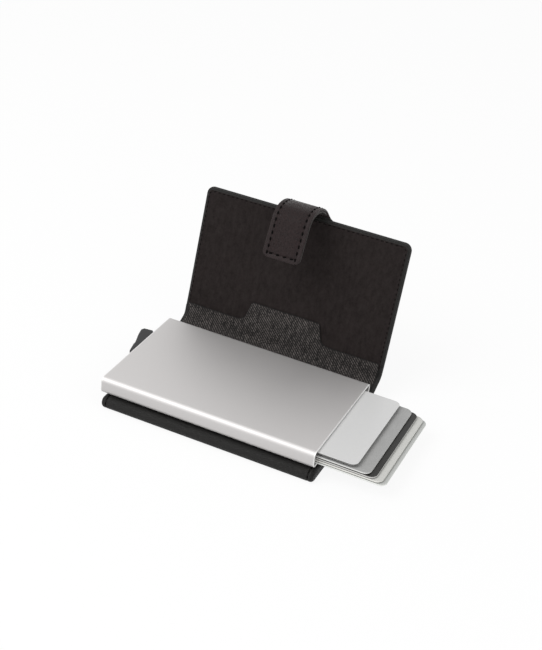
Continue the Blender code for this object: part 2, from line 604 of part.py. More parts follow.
def build_strap(leather, cover_fold):
    lining_leather = material("strap_lining", (0.05, 0.046, 0.044), 0.6)
    nickel = material("strap_magnet_nickel", (0.65, 0.64, 0.62), 0.25, 1.0)
    crease = crease_distance()
    end = strap_length()
    root = STRAP_HINGE_REACH - HALF_LEATHER
    root_y, root_z = strap_point(root)[0]
    crease_y, crease_z = strap_point(crease)[0]
    root_axis = axis_frame("strap_root_axis", (0, root_y, root_z), parent=cover_fold)
    crease_step = (0, crease_y - root_y, crease_z - root_z)
    crease_axis = axis_frame("strap_crease_axis", crease_step, parent=root_axis)
    leather_span = (-HALF_LEATHER, HALF_LEATHER)
    lining_span = (-LINING_OFFSET - STRAP_LINING, -LINING_OFFSET)

    def layer(name, stretch, span, origin, steps, rounded):
        outline = strap_band(*stretch, *span, origin, steps, *rounded)
        return solid_mesh(name, [outline], STRAP_WIDTH, SIDE_PROFILE)

    band_stretch = (root + STRAP_HINGE_REACH, crease - STRAP_HINGE_REACH)
    under_stretch = (STRAP_LINING_START, crease - STRAP_LINING_CREASE)
    band_origin = (root_y, root_z)
    band = layer("strap_band_leather", band_stretch, leather_span, band_origin, BAND_STEPS, (True, True))
    under = layer("strap_band_lining", under_stretch, lining_span, band_origin, BAND_STEPS, (False, False))
    place("strap_band_leather", band, leather, parent=root_axis)
    place("strap_band_lining", under, lining_leather, parent=root_axis)

    tip_stretch = (crease + STRAP_HINGE_REACH, end)
    tip_under_stretch = (crease + STRAP_LINING_CREASE, end)
    tip_origin = (crease_y, crease_z)
    tip = layer("strap_tip_leather", tip_stretch, leather_span, tip_origin, ARC_STEPS, (True, False))
    square = (False, False)
    tip_under = layer("strap_tip_lining", tip_under_stretch, lining_span, tip_origin, ARC_STEPS, square)
    pieces = []
    for mesh, surface in ((tip, leather), (tip_under, lining_leather)):
        lowest = min(vertex.co.z for vertex in mesh.vertices)

        def on_tip_corner(a, b, lowest=lowest):
            same_side = abs(a.x - b.x) < WELD and min(abs(a.x), abs(b.x)) > STRAP_WIDTH / 2 - WELD
            return same_side and max(a.z, b.z) < lowest + LEATHER

        ease_edges(mesh, on_tip_corner, STRAP_TIP_CORNER, ARC_STEPS)
        pieces.append(place(mesh.name, mesh, surface, parent=crease_axis))

    (y, z), slope = strap_point(end - STRAP_MAGNET_INSET, -HALF_LEATHER - GAP / 2)
    spot = (0, y - crease_y, z - crease_z)
    tilt = (-slope, 0, 0)
    hollow_height = GAP + 2 * MAGNET_POCKET
    for piece in pieces:
        hollow = cylinder_mesh("magnet_hollow", MAGNET_RADIUS + GAP, hollow_height)
        cut(piece, hollow, parent=crease_axis, location=spot, rotation=tilt)
    magnet = cylinder_mesh("strap_magnet", MAGNET_RADIUS, hollow_height - 2 * GAP)
    place("strap_magnet", magnet, nickel, parent=crease_axis, location=spot, rotation=tilt)


leather_surface = material("black_leather", (0.020, 0.019, 0.018), 0.55)
canvas_surface = material("grey_canvas", (0.070, 0.066, 0.064), 0.9)
spine_fold = axis_frame("spine_axis", (LEATHER_SHIFT, FOLD_Y, FOLD_Z), (SPINE_RISE - pi / 2, 0, 0))
cover_turn = pi / 2 - COVER_LEAN - SPINE_RISE
cover_fold = axis_frame("cover_axis", (0, 0, SPINE_LENGTH), (cover_turn, 0, 0), spine_fold)

build_case()
build_end_cap()
build_lever()
build_cards()
build_grips()
build_base(leather_surface)
build_spine(leather_surface, canvas_surface, spine_fold)
build_cover(leather_surface, canvas_surface, cover_fold)
build_strap(leather_surface, cover_fold)
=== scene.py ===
from math import acos, atan2, cos, pi, radians, sin, sqrt, tan

import bmesh
import bpy
from mathutils import Matrix, Vector


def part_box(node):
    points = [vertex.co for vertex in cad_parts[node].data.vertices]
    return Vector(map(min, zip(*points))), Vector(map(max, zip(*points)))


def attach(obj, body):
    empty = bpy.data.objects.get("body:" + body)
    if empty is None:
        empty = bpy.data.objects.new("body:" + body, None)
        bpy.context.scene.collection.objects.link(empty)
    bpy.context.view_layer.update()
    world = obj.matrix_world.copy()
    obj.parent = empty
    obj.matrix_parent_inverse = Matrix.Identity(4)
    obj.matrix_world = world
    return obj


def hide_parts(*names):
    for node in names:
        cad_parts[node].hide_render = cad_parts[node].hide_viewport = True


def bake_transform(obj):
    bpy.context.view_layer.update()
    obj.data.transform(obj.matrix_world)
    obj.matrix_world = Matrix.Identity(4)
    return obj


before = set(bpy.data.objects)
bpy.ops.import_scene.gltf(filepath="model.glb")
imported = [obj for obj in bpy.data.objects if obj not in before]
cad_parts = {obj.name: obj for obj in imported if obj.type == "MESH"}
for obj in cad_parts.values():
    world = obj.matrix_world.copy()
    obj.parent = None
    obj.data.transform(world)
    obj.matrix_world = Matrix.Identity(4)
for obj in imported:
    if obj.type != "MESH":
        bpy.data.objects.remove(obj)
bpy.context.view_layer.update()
scene = bpy.context.scene
scene.view_settings.view_transform = "Standard"

# Everything is in metres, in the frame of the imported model: +X is the way the cards slide out,
# +Y is the side of the fold, +Z is up.
mm = 0.001

# camera
cameraSetup = {"azimuth": 21.676, "elevation": 30.900, "roll": 6.534, "distance": 0.640792,
               "target": (-0.012691, 0.063631, 0.0068), "lens": 72.954}


def makeCamera(setup):
    azimuth, elevation, roll = (radians(setup[key]) for key in ("azimuth", "elevation", "roll"))
    back = Vector((sin(azimuth) * cos(elevation), -cos(azimuth) * cos(elevation), sin(elevation)))
    across = Vector((0, 0, 1)).cross(back).normalized()
    upwards = back.cross(across)
    right = across * cos(roll) + upwards * sin(roll)
    top = upwards * cos(roll) - across * sin(roll)
    data = bpy.data.cameras.new("camera")
    data.lens = setup["lens"]
    data.sensor_width = 36
    data.clip_start = 0.01
    data.clip_end = 20
    camera = bpy.data.objects.new("camera", data)
    turn = Matrix((right, top, back)).transposed().to_4x4()
    camera.matrix_world = Matrix.Translation(Vector(setup["target"]) + back * setup["distance"]) @ turn
    scene.collection.objects.link(camera)
    scene.camera = camera


makeCamera(cameraSetup)
print("camera set")


# node helpers
def give(tree, socket, value):
    # links another socket, or sets a value; a colour may be three numbers
    if isinstance(value, bpy.types.NodeSocket):
        tree.links.new(value, socket)
    elif socket.type == "RGBA":
        socket.default_value = (*value, 1.0)[:4]
    else:
        socket.default_value = value


def put(tree, kind, inputs=None, **settings):
    # one node, its settings, and its inputs given as values or as sockets to link
    node = tree.nodes.new(kind)
    for key, value in settings.items():
        setattr(node, key, value)
    for key, value in (inputs or {}).items():
        give(tree, node.inputs[key], value)
    return node


def calc(tree, operation, a, b=0.0, c=0.0):
    return put(tree, "ShaderNodeMath", {0: a, 1: b, 2: c}, operation=operation).outputs[0]


def centred(tree, value):
    # noise runs from 0 to 1, so this takes it to both sides of 0
    return calc(tree, "SUBTRACT", value, 0.5)


def span(tree, value, low, high):
    # 0 at low and 1 at high
    return put(tree, "ShaderNodeMapRange", {0: value, 1: low, 2: high}, clamp=True).outputs[0]


def mix(tree, share, a, b):
    return put(tree, "ShaderNodeMix", {0: share, 6: a, 7: b}, data_type="RGBA").outputs[2]


def noise(tree, where, scale, detail=2.0, **more):
    return put(tree, "ShaderNodeTexNoise",
               {"Vector": where, "Scale": scale, "Detail": detail, **more}).outputs[0]


def sizedNoise(tree, where, size, detail=2.0, **more):
    # size is a socket that gives the width of a patch in metres
    return noise(tree, where, calc(tree, "DIVIDE", 1.0, size), detail, **more)


def newGroup(name, inputs, outputs):
    tree = bpy.data.node_groups.new(name, "ShaderNodeTree")
    for label, kind, value in inputs:
        socket = tree.interface.new_socket(name=label, in_out="INPUT", socket_type=kind)
        if value is not None:
            socket.default_value = value
    for label, kind in outputs:
        tree.interface.new_socket(name=label, in_out="OUTPUT", socket_type=kind)
    return tree, tree.nodes.new("NodeGroupInput").outputs, tree.nodes.new("NodeGroupOutput").inputs


def useGroup(tree, group, inputs):
    return put(tree, "ShaderNodeGroup", inputs, node_tree=group).outputs


floatSocket, colourSocket, vectorSocket = "NodeSocketFloat", "NodeSocketColor", "NodeSocketVector"


# shared shader groups
def makeDriftGroup():
    # slow change of tone over a surface, with a little fine grain in it
    tree, given, result = newGroup(
        "toneDrift",
        [("Vector", vectorSocket, None), ("Colour", colourSocket, (0.5, 0.5, 0.5, 1)),
         ("Patch Size", floatSocket, 0.02), ("Amount", floatSocket, 0.1),
         ("Grain Size", floatSocket, 0.0004), ("Grain Amount", floatSocket, 0.05)],
        [("Colour", colourSocket), ("Tone", floatSocket)])
    slow = sizedNoise(tree, given["Vector"], given["Patch Size"], detail=3.0, Roughness=0.55)
    fine = sizedNoise(tree, given["Vector"], given["Grain Size"])
    slowPart = calc(tree, "MULTIPLY", centred(tree, slow), given["Amount"])
    finePart = calc(tree, "MULTIPLY", centred(tree, fine), given["Grain Amount"])
    tone = calc(tree, "ADD", calc(tree, "MULTIPLY_ADD", slowPart, 2.0, 1.0),
                calc(tree, "MULTIPLY", finePart, 2.0))
    scaled = put(tree, "ShaderNodeVectorMath", {0: given["Colour"], "Scale": tone}, operation="SCALE")
    tree.links.new(scaled.outputs[0], result["Colour"])
    tree.links.new(tone, result["Tone"])
    return tree


def makeGrainGroup():
    # leather grain: small pebbles parted by creases, with finer wrinkles on them
    tree, given, result = newGroup(
        "leatherGrain",
        [("Vector", vectorSocket, None), ("Pebble Size", floatSocket, 0.0006),
         ("Wrinkle", floatSocket, 0.4)],
        [("Height", floatSocket), ("Crease", floatSocket)])
    bend = put(tree, "ShaderNodeTexNoise", {"Vector": given["Vector"], "Scale": 900.0, "Detail": 2.0})
    pushed = put(tree, "ShaderNodeVectorMath", {0: bend.outputs["Color"], "Scale": 0.0005},
                 operation="SCALE")
    moved = put(tree, "ShaderNodeVectorMath", {0: given["Vector"], 1: pushed.outputs[0]},
                operation="ADD").outputs[0]
    cells = put(tree, "ShaderNodeTexVoronoi",
                {"Vector": moved, "Scale": calc(tree, "DIVIDE", 1.0, given["Pebble Size"])},
                feature="DISTANCE_TO_EDGE")
    pebble = span(tree, cells.outputs["Distance"], 0.0, 0.22)
    wrinkle = calc(tree, "MULTIPLY", noise(tree, moved, scale=2600.0, detail=3.0), given["Wrinkle"])
    tree.links.new(calc(tree, "ADD", pebble, wrinkle), result["Height"])
    tree.links.new(calc(tree, "SUBTRACT", 1.0, pebble), result["Crease"])
    return tree


def makeRimGroup():
    # wear along edges, and painted shade along the canvas edges: the rim attribute of a piece, broken up by
    # noise
    tree, given, result = newGroup(
        "rimWearAndShade",
        [("Colour", colourSocket, (0.5, 0.5, 0.5, 1)), ("Wear And Shade Colour", colourSocket, (0.8, 0.8, 0.8, 1)),
         ("Rim", floatSocket, 0.0), ("Vector", vectorSocket, None), ("Patch Size", floatSocket, 0.002),
         ("Amount", floatSocket, 0.5), ("Evenness", floatSocket, 0.5)],
        [("Colour", colourSocket), ("Mask", floatSocket)])
    patches = sizedNoise(tree, given["Vector"], given["Patch Size"], detail=4.0)
    broken = span(tree, patches, 0.35, 0.65)
    uneven = calc(tree, "MULTIPLY", broken, calc(tree, "SUBTRACT", 1.0, given["Evenness"]))
    share = calc(tree, "ADD", uneven, given["Evenness"])
    mask = calc(tree, "MULTIPLY", calc(tree, "MULTIPLY", given["Rim"], share), given["Amount"])
    tree.links.new(mix(tree, mask, given["Colour"], given["Wear And Shade Colour"]), result["Colour"])
    tree.links.new(mask, result["Mask"])
    return tree


def makeTwillGroup():
    # twill cloth from a UV map in metres: each thread passes over two and under two,
    # and keeps its own tone for a run of six crossings
    tree, given, result = newGroup(
        "twillCloth",
        [("Vector", vectorSocket, None), ("Thread", floatSocket, 0.0004),
         ("Warp Colour", colourSocket, (0.1, 0.1, 0.1, 1)),
         ("Weft Colour", colourSocket, (0.1, 0.1, 0.1, 1)), ("Melange", floatSocket, 0.5)],
        [("Colour", colourSocket), ("Height", floatSocket)])
    parted = put(tree, "ShaderNodeSeparateXYZ", {0: given["Vector"]}).outputs
    u, v = (calc(tree, "DIVIDE", parted[axis], given["Thread"]) for axis in (0, 1))
    column, row = calc(tree, "FLOOR", u), calc(tree, "FLOOR", v)
    stepped = calc(tree, "FLOORED_MODULO", calc(tree, "ADD", column, row), 4.0)
    warpOver = calc(tree, "LESS_THAN", stepped, 1.5)

    def roundOf(place):
        return calc(tree, "SINE", calc(tree, "MULTIPLY", calc(tree, "FRACT", place), pi))

    def runOf(place):
        return calc(tree, "FLOOR", calc(tree, "DIVIDE", place, 6.0))

    def toneOf(key):
        spot = put(tree, "ShaderNodeCombineXYZ", key).outputs[0]
        return put(tree, "ShaderNodeTexWhiteNoise", {"Vector": spot}).outputs[0]

    height = put(tree, "ShaderNodeMix", {0: warpOver, 2: roundOf(v), 3: roundOf(u)}).outputs[0]
    warpTone, weftTone = toneOf({0: column, 1: runOf(v)}), toneOf({0: runOf(u), 1: row, 2: 7.0})
    tone = put(tree, "ShaderNodeMix", {0: warpOver, 2: weftTone, 3: warpTone}).outputs[0]
    colour = mix(tree, warpOver, given["Weft Colour"], given["Warp Colour"])
    spread = calc(tree, "MULTIPLY", centred(tree, tone), calc(tree, "MULTIPLY", given["Melange"], 2.0))
    # the colour is scaled by the melange tone of each thread and by its height: painted shade where a thread
    # dips under its neighbours
    shade = calc(tree, "MULTIPLY", calc(tree, "ADD", 1.0, spread),
                 calc(tree, "MULTIPLY_ADD", height, 0.45, 0.6))
    scaled = put(tree, "ShaderNodeVectorMath", {0: colour, "Scale": shade}, operation="SCALE")
    tree.links.new(scaled.outputs[0], result["Colour"])
    tree.links.new(height, result["Height"])
    return tree


toneDrift = makeDriftGroup()
leatherGrain = makeGrainGroup()
rimWearAndShade = makeRimGroup()
twillCloth = makeTwillGroup()
print("shader groups made")


# materials
def startMaterial(name, **fixed):
    # fixed values go straight on the shader's own sockets
    material = bpy.data.materials.new(name)
    material.use_nodes = True
    tree = material.node_tree
    shader = tree.nodes["Principled BSDF"]
    for key, value in fixed.items():
        shader.inputs[key.replace("_", " ")].default_value = value
    return material, tree, shader


def objectVector(tree):
    return put(tree, "ShaderNodeTexCoord").outputs["Object"]


def sheetVector(tree):
    return put(tree, "ShaderNodeUVMap", uv_map="sheet").outputs[0]


def rimValue(tree):
    return put(tree, "ShaderNodeAttribute", attribute_name="rim").outputs["Fac"]


def drifted(tree, where, colour, patch, amount, grain, grainAmount):
    return useGroup(tree, toneDrift, {"Vector": where, "Colour": colour, "Patch Size": patch,
                                      "Amount": amount, "Grain Size": grain, "Grain Amount": grainAmount})


def edgeWearAndShade(tree, where, colour, edgeColour, patch, amount, evenness):
    return useGroup(tree, rimWearAndShade, {"Vector": where, "Colour": colour, "Wear And Shade Colour": edgeColour,
                                    "Rim": rimValue(tree), "Patch Size": patch, "Amount": amount,
                                    "Evenness": evenness})


def colourBy(tree, shader, colour):
    tree.links.new(colour, shader.inputs["Base Color"])


def roughBy(tree, shader, rough):
    tree.links.new(rough, shader.inputs["Roughness"])


def bumpBy(tree, shader, height, strength, distance):
    bump = put(tree, "ShaderNodeBump", {"Strength": strength, "Distance": distance, "Height": height})
    tree.links.new(bump.outputs[0], shader.inputs["Normal"])


def leatherMaterial(name, look):
    material, tree, shader = startMaterial(name, Specular_IOR_Level=look["specular"])
    where = objectVector(tree)
    drift = drifted(tree, where, look["colour"], look["patch"], look["drift"], grain=0.0008,
                    grainAmount=look["grainTone"])
    grain = useGroup(tree, leatherGrain, {"Vector": where, "Pebble Size": look["pebble"], "Wrinkle": 0.5})
    edged = edgeWearAndShade(tree, where, drift["Colour"], look["edgeColour"], patch=0.003, amount=look["edge"],
                 evenness=look["edgeEven"])
    # the creases are rougher than the pebbles and painted darker: painted shade in the grain's creases
    paintedCreaseShade = calc(tree, "MULTIPLY", grain["Crease"], look["creaseShadeAmount"])
    creaseShadeColour = tuple(0.35 * part for part in look["colour"])
    colourBy(tree, shader, mix(tree, paintedCreaseShade, edged["Colour"], creaseShadeColour))
    patchy = calc(tree, "MULTIPLY", calc(tree, "SUBTRACT", drift["Tone"], 1.0), 0.5)
    rough = calc(tree, "MULTIPLY_ADD", grain["Crease"], 0.16, look["roughness"])
    roughBy(tree, shader, calc(tree, "ADD", rough, patchy))
    bumpBy(tree, shader, grain["Height"], look["bump"], look["depth"])
    return material


def clothMaterial(name, look):
    material, tree, shader = startMaterial(
        name, Roughness=0.9, Specular_IOR_Level=0.25, Sheen_Weight=look["sheen"], Sheen_Roughness=0.5)
    where = objectVector(tree)
    cloth = useGroup(tree, twillCloth, {"Vector": sheetVector(tree), "Thread": look["thread"],
                                        "Warp Colour": look["warp"], "Weft Colour": look["weft"],
                                        "Melange": look["melange"]})
    drift = drifted(tree, where, cloth["Colour"], look["patch"], look["drift"], grain=0.0011,
                    grainAmount=look["speck"])
    # the canvas edges are painted near black: a painted shadow line along the pocket's edge
    edged = edgeWearAndShade(tree, where, drift["Colour"], look["edgeColour"], patch=0.001, amount=0.95, evenness=0.8)
    colourBy(tree, shader, edged["Colour"])
    bumpBy(tree, shader, cloth["Height"], strength=0.6, distance=0.00008)
    return material


def napMaterial(name, look):
    # brushed microfibre: short nap with soft upright strokes and a fine pile
    material, tree, shader = startMaterial(
        name, Roughness=0.95, Specular_IOR_Level=0.12, Sheen_Weight=look["sheen"], Sheen_Roughness=0.4)
    where = sheetVector(tree)
    drawn = put(tree, "ShaderNodeMapping", {"Vector": where, "Scale": (1.0, 0.45, 1.0)}).outputs[0]
    strokes = noise(tree, drawn, scale=480.0, detail=6.0, Roughness=0.7)
    pile = noise(tree, where, scale=4200.0)
    drift = drifted(tree, objectVector(tree), look["colour"], patch=0.009, amount=0.3, grain=0.0009,
                    grainAmount=0.5)
    light = calc(tree, "MULTIPLY", span(tree, strokes, 0.35, 0.75), look["stroke"])
    colourBy(tree, shader, mix(tree, light, drift["Colour"], look["strokeColour"]))
    height = calc(tree, "ADD", pile, calc(tree, "MULTIPLY", strokes, 0.7))
    bumpBy(tree, shader, height, strength=0.5, distance=0.00012)
    return material


def metalMaterial(name, look):
    material, tree, shader = startMaterial(name, Metallic=1.0)
    where = objectVector(tree)
    drift = drifted(tree, where, look["colour"], look["patch"], look["drift"], look["grain"],
                    look["grainTone"])
    edged = edgeWearAndShade(tree, where, drift["Colour"], look["edgeColour"], patch=0.004, amount=look["edge"],
                 evenness=0.7)
    colourBy(tree, shader, edged["Colour"])
    blast = noise(tree, where, scale=1.0 / look["grain"], detail=3.0)
    smear = noise(tree, where, scale=60.0, detail=4.0, Distortion=0.6)
    rough = calc(tree, "ADD", calc(tree, "MULTIPLY_ADD", blast, 0.06, look["roughness"] - 0.03),
                 calc(tree, "MULTIPLY", centred(tree, smear), look["smear"]))
    roughBy(tree, shader, calc(tree, "SUBTRACT", rough, calc(tree, "MULTIPLY", edged["Mask"], 0.08)))
    bumpBy(tree, shader, blast, look["bump"], distance=0.00002)
    return material


def plasticMaterial(name, look):
    material, tree, shader = startMaterial(name, Specular_IOR_Level=0.3)
    where = objectVector(tree)
    drift = drifted(tree, where, look["colour"], patch=0.006, amount=0.1, grain=look["grain"],
                    grainAmount=0.2)
    colourBy(tree, shader, drift["Colour"])
    grain = noise(tree, where, scale=1.0 / look["grain"], detail=3.0)
    roughBy(tree, shader, calc(tree, "MULTIPLY_ADD", grain, 0.12, look["roughness"] - 0.06))
    bumpBy(tree, shader, grain, look["bump"], distance=0.00004)
    return material


def cardMaterial(name, look):
    # printed faces, a plastic core at the edge, and a fine speckle in the print
    material, tree, shader = startMaterial(name, Specular_IOR_Level=0.35, Coat_Weight=look["coat"],
                                           Coat_Roughness=0.25)
    where = objectVector(tree)
    drift = drifted(tree, where, look["colour"], look["patch"], look["drift"], grain=0.0009,
                    grainAmount=look["speck"])
    height = put(tree, "ShaderNodeSeparateXYZ", {0: sheetVector(tree)}).outputs[1]
    core = span(tree, calc(tree, "PINGPONG", height, 0.5), 0.10, 0.16)
    coreColour = mix(tree, core, look["colour"], look["core"])
    fine = noise(tree, where, scale=2500.0)
    sided = calc(tree, "MULTIPLY", rimValue(tree), calc(tree, "MULTIPLY_ADD", fine, 0.2, 0.85))
    colourBy(tree, shader, mix(tree, calc(tree, "MINIMUM", sided, 1.0), drift["Colour"], coreColour))
    roughBy(tree, shader, calc(tree, "MULTIPLY_ADD", fine, 0.12, look["roughness"] - 0.06))
    bumpBy(tree, shader, fine, strength=0.12, distance=0.00002)
    return material


def feltMaterial(name, colour):
    material, tree, shader = startMaterial(name, Roughness=0.95, Sheen_Weight=0.3, Specular_IOR_Level=0.15)
    where = objectVector(tree)
    drift = drifted(tree, where, colour, patch=0.003, amount=0.2, grain=0.0003, grainAmount=0.5)
    colourBy(tree, shader, drift["Colour"])
    fibre = noise(tree, where, scale=3500.0, detail=4.0, Distortion=1.2)
    bumpBy(tree, shader, fibre, strength=0.7, distance=0.0001)
    return material


def threadMaterial(name, colour):
    material, tree, shader = startMaterial(name, Roughness=0.9, Specular_IOR_Level=0.06)
    where = objectVector(tree)
    drift = drifted(tree, where, colour, patch=0.002, amount=0.2, grain=0.0002, grainAmount=0.4)
    colourBy(tree, shader, drift["Colour"])
    ply = put(tree, "ShaderNodeTexWave", {"Vector": where, "Scale": 420.0, "Distortion": 1.0},
              bands_direction="DIAGONAL")
    bumpBy(tree, shader, ply.outputs["Fac"], strength=0.6, distance=0.00008)
    return material


leatherLook = {"colour": (0.0180, 0.0174, 0.0166), "patch": 0.018, "drift": 0.14, "pebble": 0.00055,
               "roughness": 0.5, "specular": 0.2, "edgeColour": (0.034, 0.033, 0.031), "edge": 0.45,
               "edgeEven": 0.4, "creaseShadeAmount": 0.5, "bump": 0.6, "depth": 0.00012, "grainTone": 0.6}
# the base's rounded ends carry the rim value and are darker than its front
baseLeatherLook = {**leatherLook, "edgeColour": (0.006, 0.0058, 0.0056), "edge": 0.95, "edgeEven": 0.6,
                   "bump": 0.95, "grainTone": 1.0}
strapLeatherLook = {**leatherLook, "colour": (0.0200, 0.0125, 0.0125), "edgeColour": (0.040, 0.031, 0.031),
                    "edge": 0.95, "edgeEven": 0.7, "roughness": 0.34, "specular": 0.13, "bump": 0.6,
                    "grainTone": 1.0}
strapBackingLook = {**leatherLook, "colour": (0.032, 0.029, 0.028), "edgeColour": (0.058, 0.053, 0.051),
                    "edge": 0.9, "edgeEven": 0.8, "roughness": 0.55, "bump": 0.2, "creaseShadeAmount": 0.2}
# the canvas edge colour is near black, painted shade for the shadow line along the pocket's edge
canvasLook = {"thread": 0.00036, "warp": (0.068, 0.0605, 0.0575), "weft": (0.007, 0.0058, 0.0054),
              "melange": 0.8, "speck": 0.7, "patch": 0.0055, "drift": 0.32, "sheen": 0.08,
              "edgeColour": (0.004, 0.0036, 0.0035)}
napLook = {"colour": (0.0135, 0.0102, 0.0098), "stroke": 0.75, "strokeColour": (0.0275, 0.0225, 0.0218),
           "sheen": 0.03}
caseLook = {"colour": (0.604, 0.590, 0.585), "patch": 0.05, "drift": 0.015, "grain": 0.00016,
            "grainTone": 0.03, "edgeColour": (0.85, 0.85, 0.84), "edge": 0.7, "roughness": 0.6,
            "smear": 0.03, "bump": 0.18}
steelLook = {"colour": (0.58, 0.58, 0.57), "patch": 0.004, "drift": 0.05, "grain": 0.0001,
             "grainTone": 0.08, "edgeColour": (0.8, 0.8, 0.8), "edge": 0.3, "roughness": 0.3,
             "smear": 0.1, "bump": 0.2}
nickelLook = {**steelLook, "colour": (0.62, 0.60, 0.57), "roughness": 0.22}
leverLook = {"colour": (0.026, 0.026, 0.027), "grain": 0.0003, "roughness": 0.5, "bump": 0.3}
capLook = {"colour": (0.028, 0.028, 0.030), "grain": 0.0004, "roughness": 0.55, "bump": 0.35}
cardLooks = [
    # card_1's edge is nearly black, so a dark band shows right under its light face
    {"colour": (0.62, 0.62, 0.617), "patch": 0.03, "drift": 0.02, "speck": 0.02, "coat": 0.2,
     "roughness": 0.42, "core": (0.10, 0.098, 0.095)},
    {"colour": (0.345, 0.345, 0.34), "patch": 0.005, "drift": 0.07, "speck": 0.10, "coat": 0.1,
     "roughness": 0.5, "core": (0.72, 0.72, 0.70)},
    {"colour": (0.018, 0.0175, 0.016), "patch": 0.02, "drift": 0.06, "speck": 0.05, "coat": 0.0,
     "roughness": 0.42, "core": (0.62, 0.61, 0.59)},
    {"colour": (0.55, 0.55, 0.525), "patch": 0.02, "drift": 0.03, "speck": 0.04, "coat": 0.2,
     "roughness": 0.4, "core": (0.74, 0.73, 0.69)},
    {"colour": (0.46, 0.47, 0.455), "patch": 0.02, "drift": 0.03, "speck": 0.04, "coat": 0.2,
     "roughness": 0.4, "core": (0.80, 0.81, 0.78)}]

blackLeather = leatherMaterial("blackLeather", leatherLook)
baseLeather = leatherMaterial("baseLeather", baseLeatherLook)
strapLeather = leatherMaterial("strapLeather", strapLeatherLook)
strapBacking = leatherMaterial("strapBacking", strapBackingLook)
greyCanvas = clothMaterial("greyCanvas", canvasLook)
brushedLining = napMaterial("brushedLining", napLook)
satinCase = metalMaterial("satinCase", caseLook)
pinSteel = metalMaterial("pinSteel", steelLook)
nickelPlate = metalMaterial("nickelPlate", nickelLook)
leverPlastic = plasticMaterial("leverPlastic", leverLook)
capPlastic = plasticMaterial("capPlastic", capLook)
rawBoard = feltMaterial("rawBoard", (0.24, 0.225, 0.20))
padFoam = feltMaterial("padFoam", (0.028, 0.028, 0.029))
gripFelt = feltMaterial("gripFelt", (0.045, 0.045, 0.046))
blackThread = threadMaterial("blackThread", (0.0025, 0.0022, 0.0022))
cardPrints = [cardMaterial(f"cardPrint{number}", look) for number, look in enumerate(cardLooks, 1)]
print("materials made")


# mesh helpers
smoothAngle = radians(40)


def finishPiece(name, vertices, faces, rims, sheet, material):
    # rims: 0 on a face, 1 on an edge. sheet: the point's place on the flat sheet, in metres
    mesh = bpy.data.meshes.new(name)
    mesh.from_pydata([tuple(point) for point in vertices], [], faces)
    rim = mesh.attributes.new("rim", "FLOAT", "POINT")
    rim.data.foreach_set("value", rims)
    layer = mesh.uv_layers.new(name="sheet")
    for loop in mesh.loops:
        layer.data[loop.index].uv = sheet[loop.vertex_index]
    work = bmesh.new()
    work.from_mesh(mesh)
    bmesh.ops.remove_doubles(work, verts=work.verts, dist=1e-7)
    bmesh.ops.recalc_face_normals(work, faces=work.faces)
    work.to_mesh(mesh)
    work.free()
    mesh.materials.append(material)
    mesh.shade_smooth()
    mesh.set_sharp_from_angle(angle=smoothAngle)
    piece = bpy.data.objects.new(name, mesh)
    scene.collection.objects.link(piece)
    return piece


class Path:
    # a line of straight and round runs in the YZ plane, with distances along it
    def __init__(self, start, heading, runs):
        self.start, self.heading, self.runs = start, heading, runs

    def at(self, distance, outward=0.0):
        y, z = self.start
        heading = self.heading
        left = distance
        for length, turn in self.runs:
            walked = min(max(left, 0.0), length)
            if abs(turn) > 1e-9:
                radius = length / turn
                later = heading + turn * walked / length
                y += radius * (sin(later) - sin(heading))
                z -= radius * (cos(later) - cos(heading))
                heading = later
            else:
                y += walked * cos(heading)
                z += walked * sin(heading)
            left -= walked
            if left <= 0:
                break
        extra = left if left > 0 else min(distance, 0.0)
        y += extra * cos(heading)
        z += extra * sin(heading)
        return Vector((0.0, y + outward * sin(heading), z - outward * cos(heading)))


def steps(low, high, count):
    return [low + (high - low) * number / count for number in range(count + 1)]


def limit(share):
    return max(0.0, min(1.0, share))


def mirrored(points):
    # the same points on the other side of the middle, in reverse
    return [(-x, u) for x, u in points[::-1]]


def ringFaces(levels, count, turned=False, closed=False):
    # quads between rings of points; closed joins the last ring to the first
    faces = []
    for level in range(levels if closed else levels - 1):
        near, far = level * count, (level + 1) % levels * count
        for number in range(count):
            after = (number + 1) % count
            if turned:
                faces.append((near + number, near + after, far + after, far + number))
            else:
                faces.append((near + number, far + number, far + after, near + after))
    return faces


def loftSlab(name, path, middle, stations, material, across=10, seam=None):
    # stations: (distance, half width, inner, outer, rim depth); square ends.
    # seam: the places across, and a function that gives the dip and the rim value at (x, distance)
    rimSteps = 6
    vertices, rims, sheet = [], [], []
    for distance, half, inner, outer, depth in stations:
        centre, tall = (inner + outer) / 2, (outer - inner) / 2
        flat = half - depth
        if seam:
            places, dip = seam
            spots = [-flat] + [max(-flat, min(flat, x)) for x in places[1:-1]] + [flat]
            ring = [(x, outer - dip(x, distance)[0], dip(x, distance)[1]) for x in spots]
        else:
            ring = [(x, outer, 0.0) for x in steps(-flat, flat, across)]
        ring += [(flat + depth * sin(turn), centre + tall * cos(turn), 1.0)
                 for turn in steps(0, pi, rimSteps)[1:-1]]
        ring += [(x, inner, 0.0) for x in steps(flat, -flat, across)]
        ring += [(-flat - depth * sin(turn), centre + tall * cos(turn), 1.0)
                 for turn in steps(pi, 0, rimSteps)[1:-1]]
        for x, outward, rim in ring:
            vertices.append(path.at(distance, outward) + Vector((middle + x, 0, 0)))
            rims.append(rim)
            sheet.append((x, distance))
    count = len(ring)
    faces = ringFaces(len(stations), count)
    # the ends: quads between the outer and the inner row, and fans at the rims
    opposite = 2 * across + rimSteps
    for base, turned in ((0, False), ((len(stations) - 1) * count, True)):
        caps = [(base + number, base + number + 1, base + opposite - number - 1, base + opposite - number)
                for number in range(across)]
        caps.append(tuple(base + across + number for number in range(rimSteps + 1)))
        caps.append(tuple(base + (opposite + number) % count for number in range(rimSteps + 1)))
        faces += [cap[::-1] if turned else cap for cap in caps]
    return finishPiece(name, vertices, faces, rims, sheet, material)


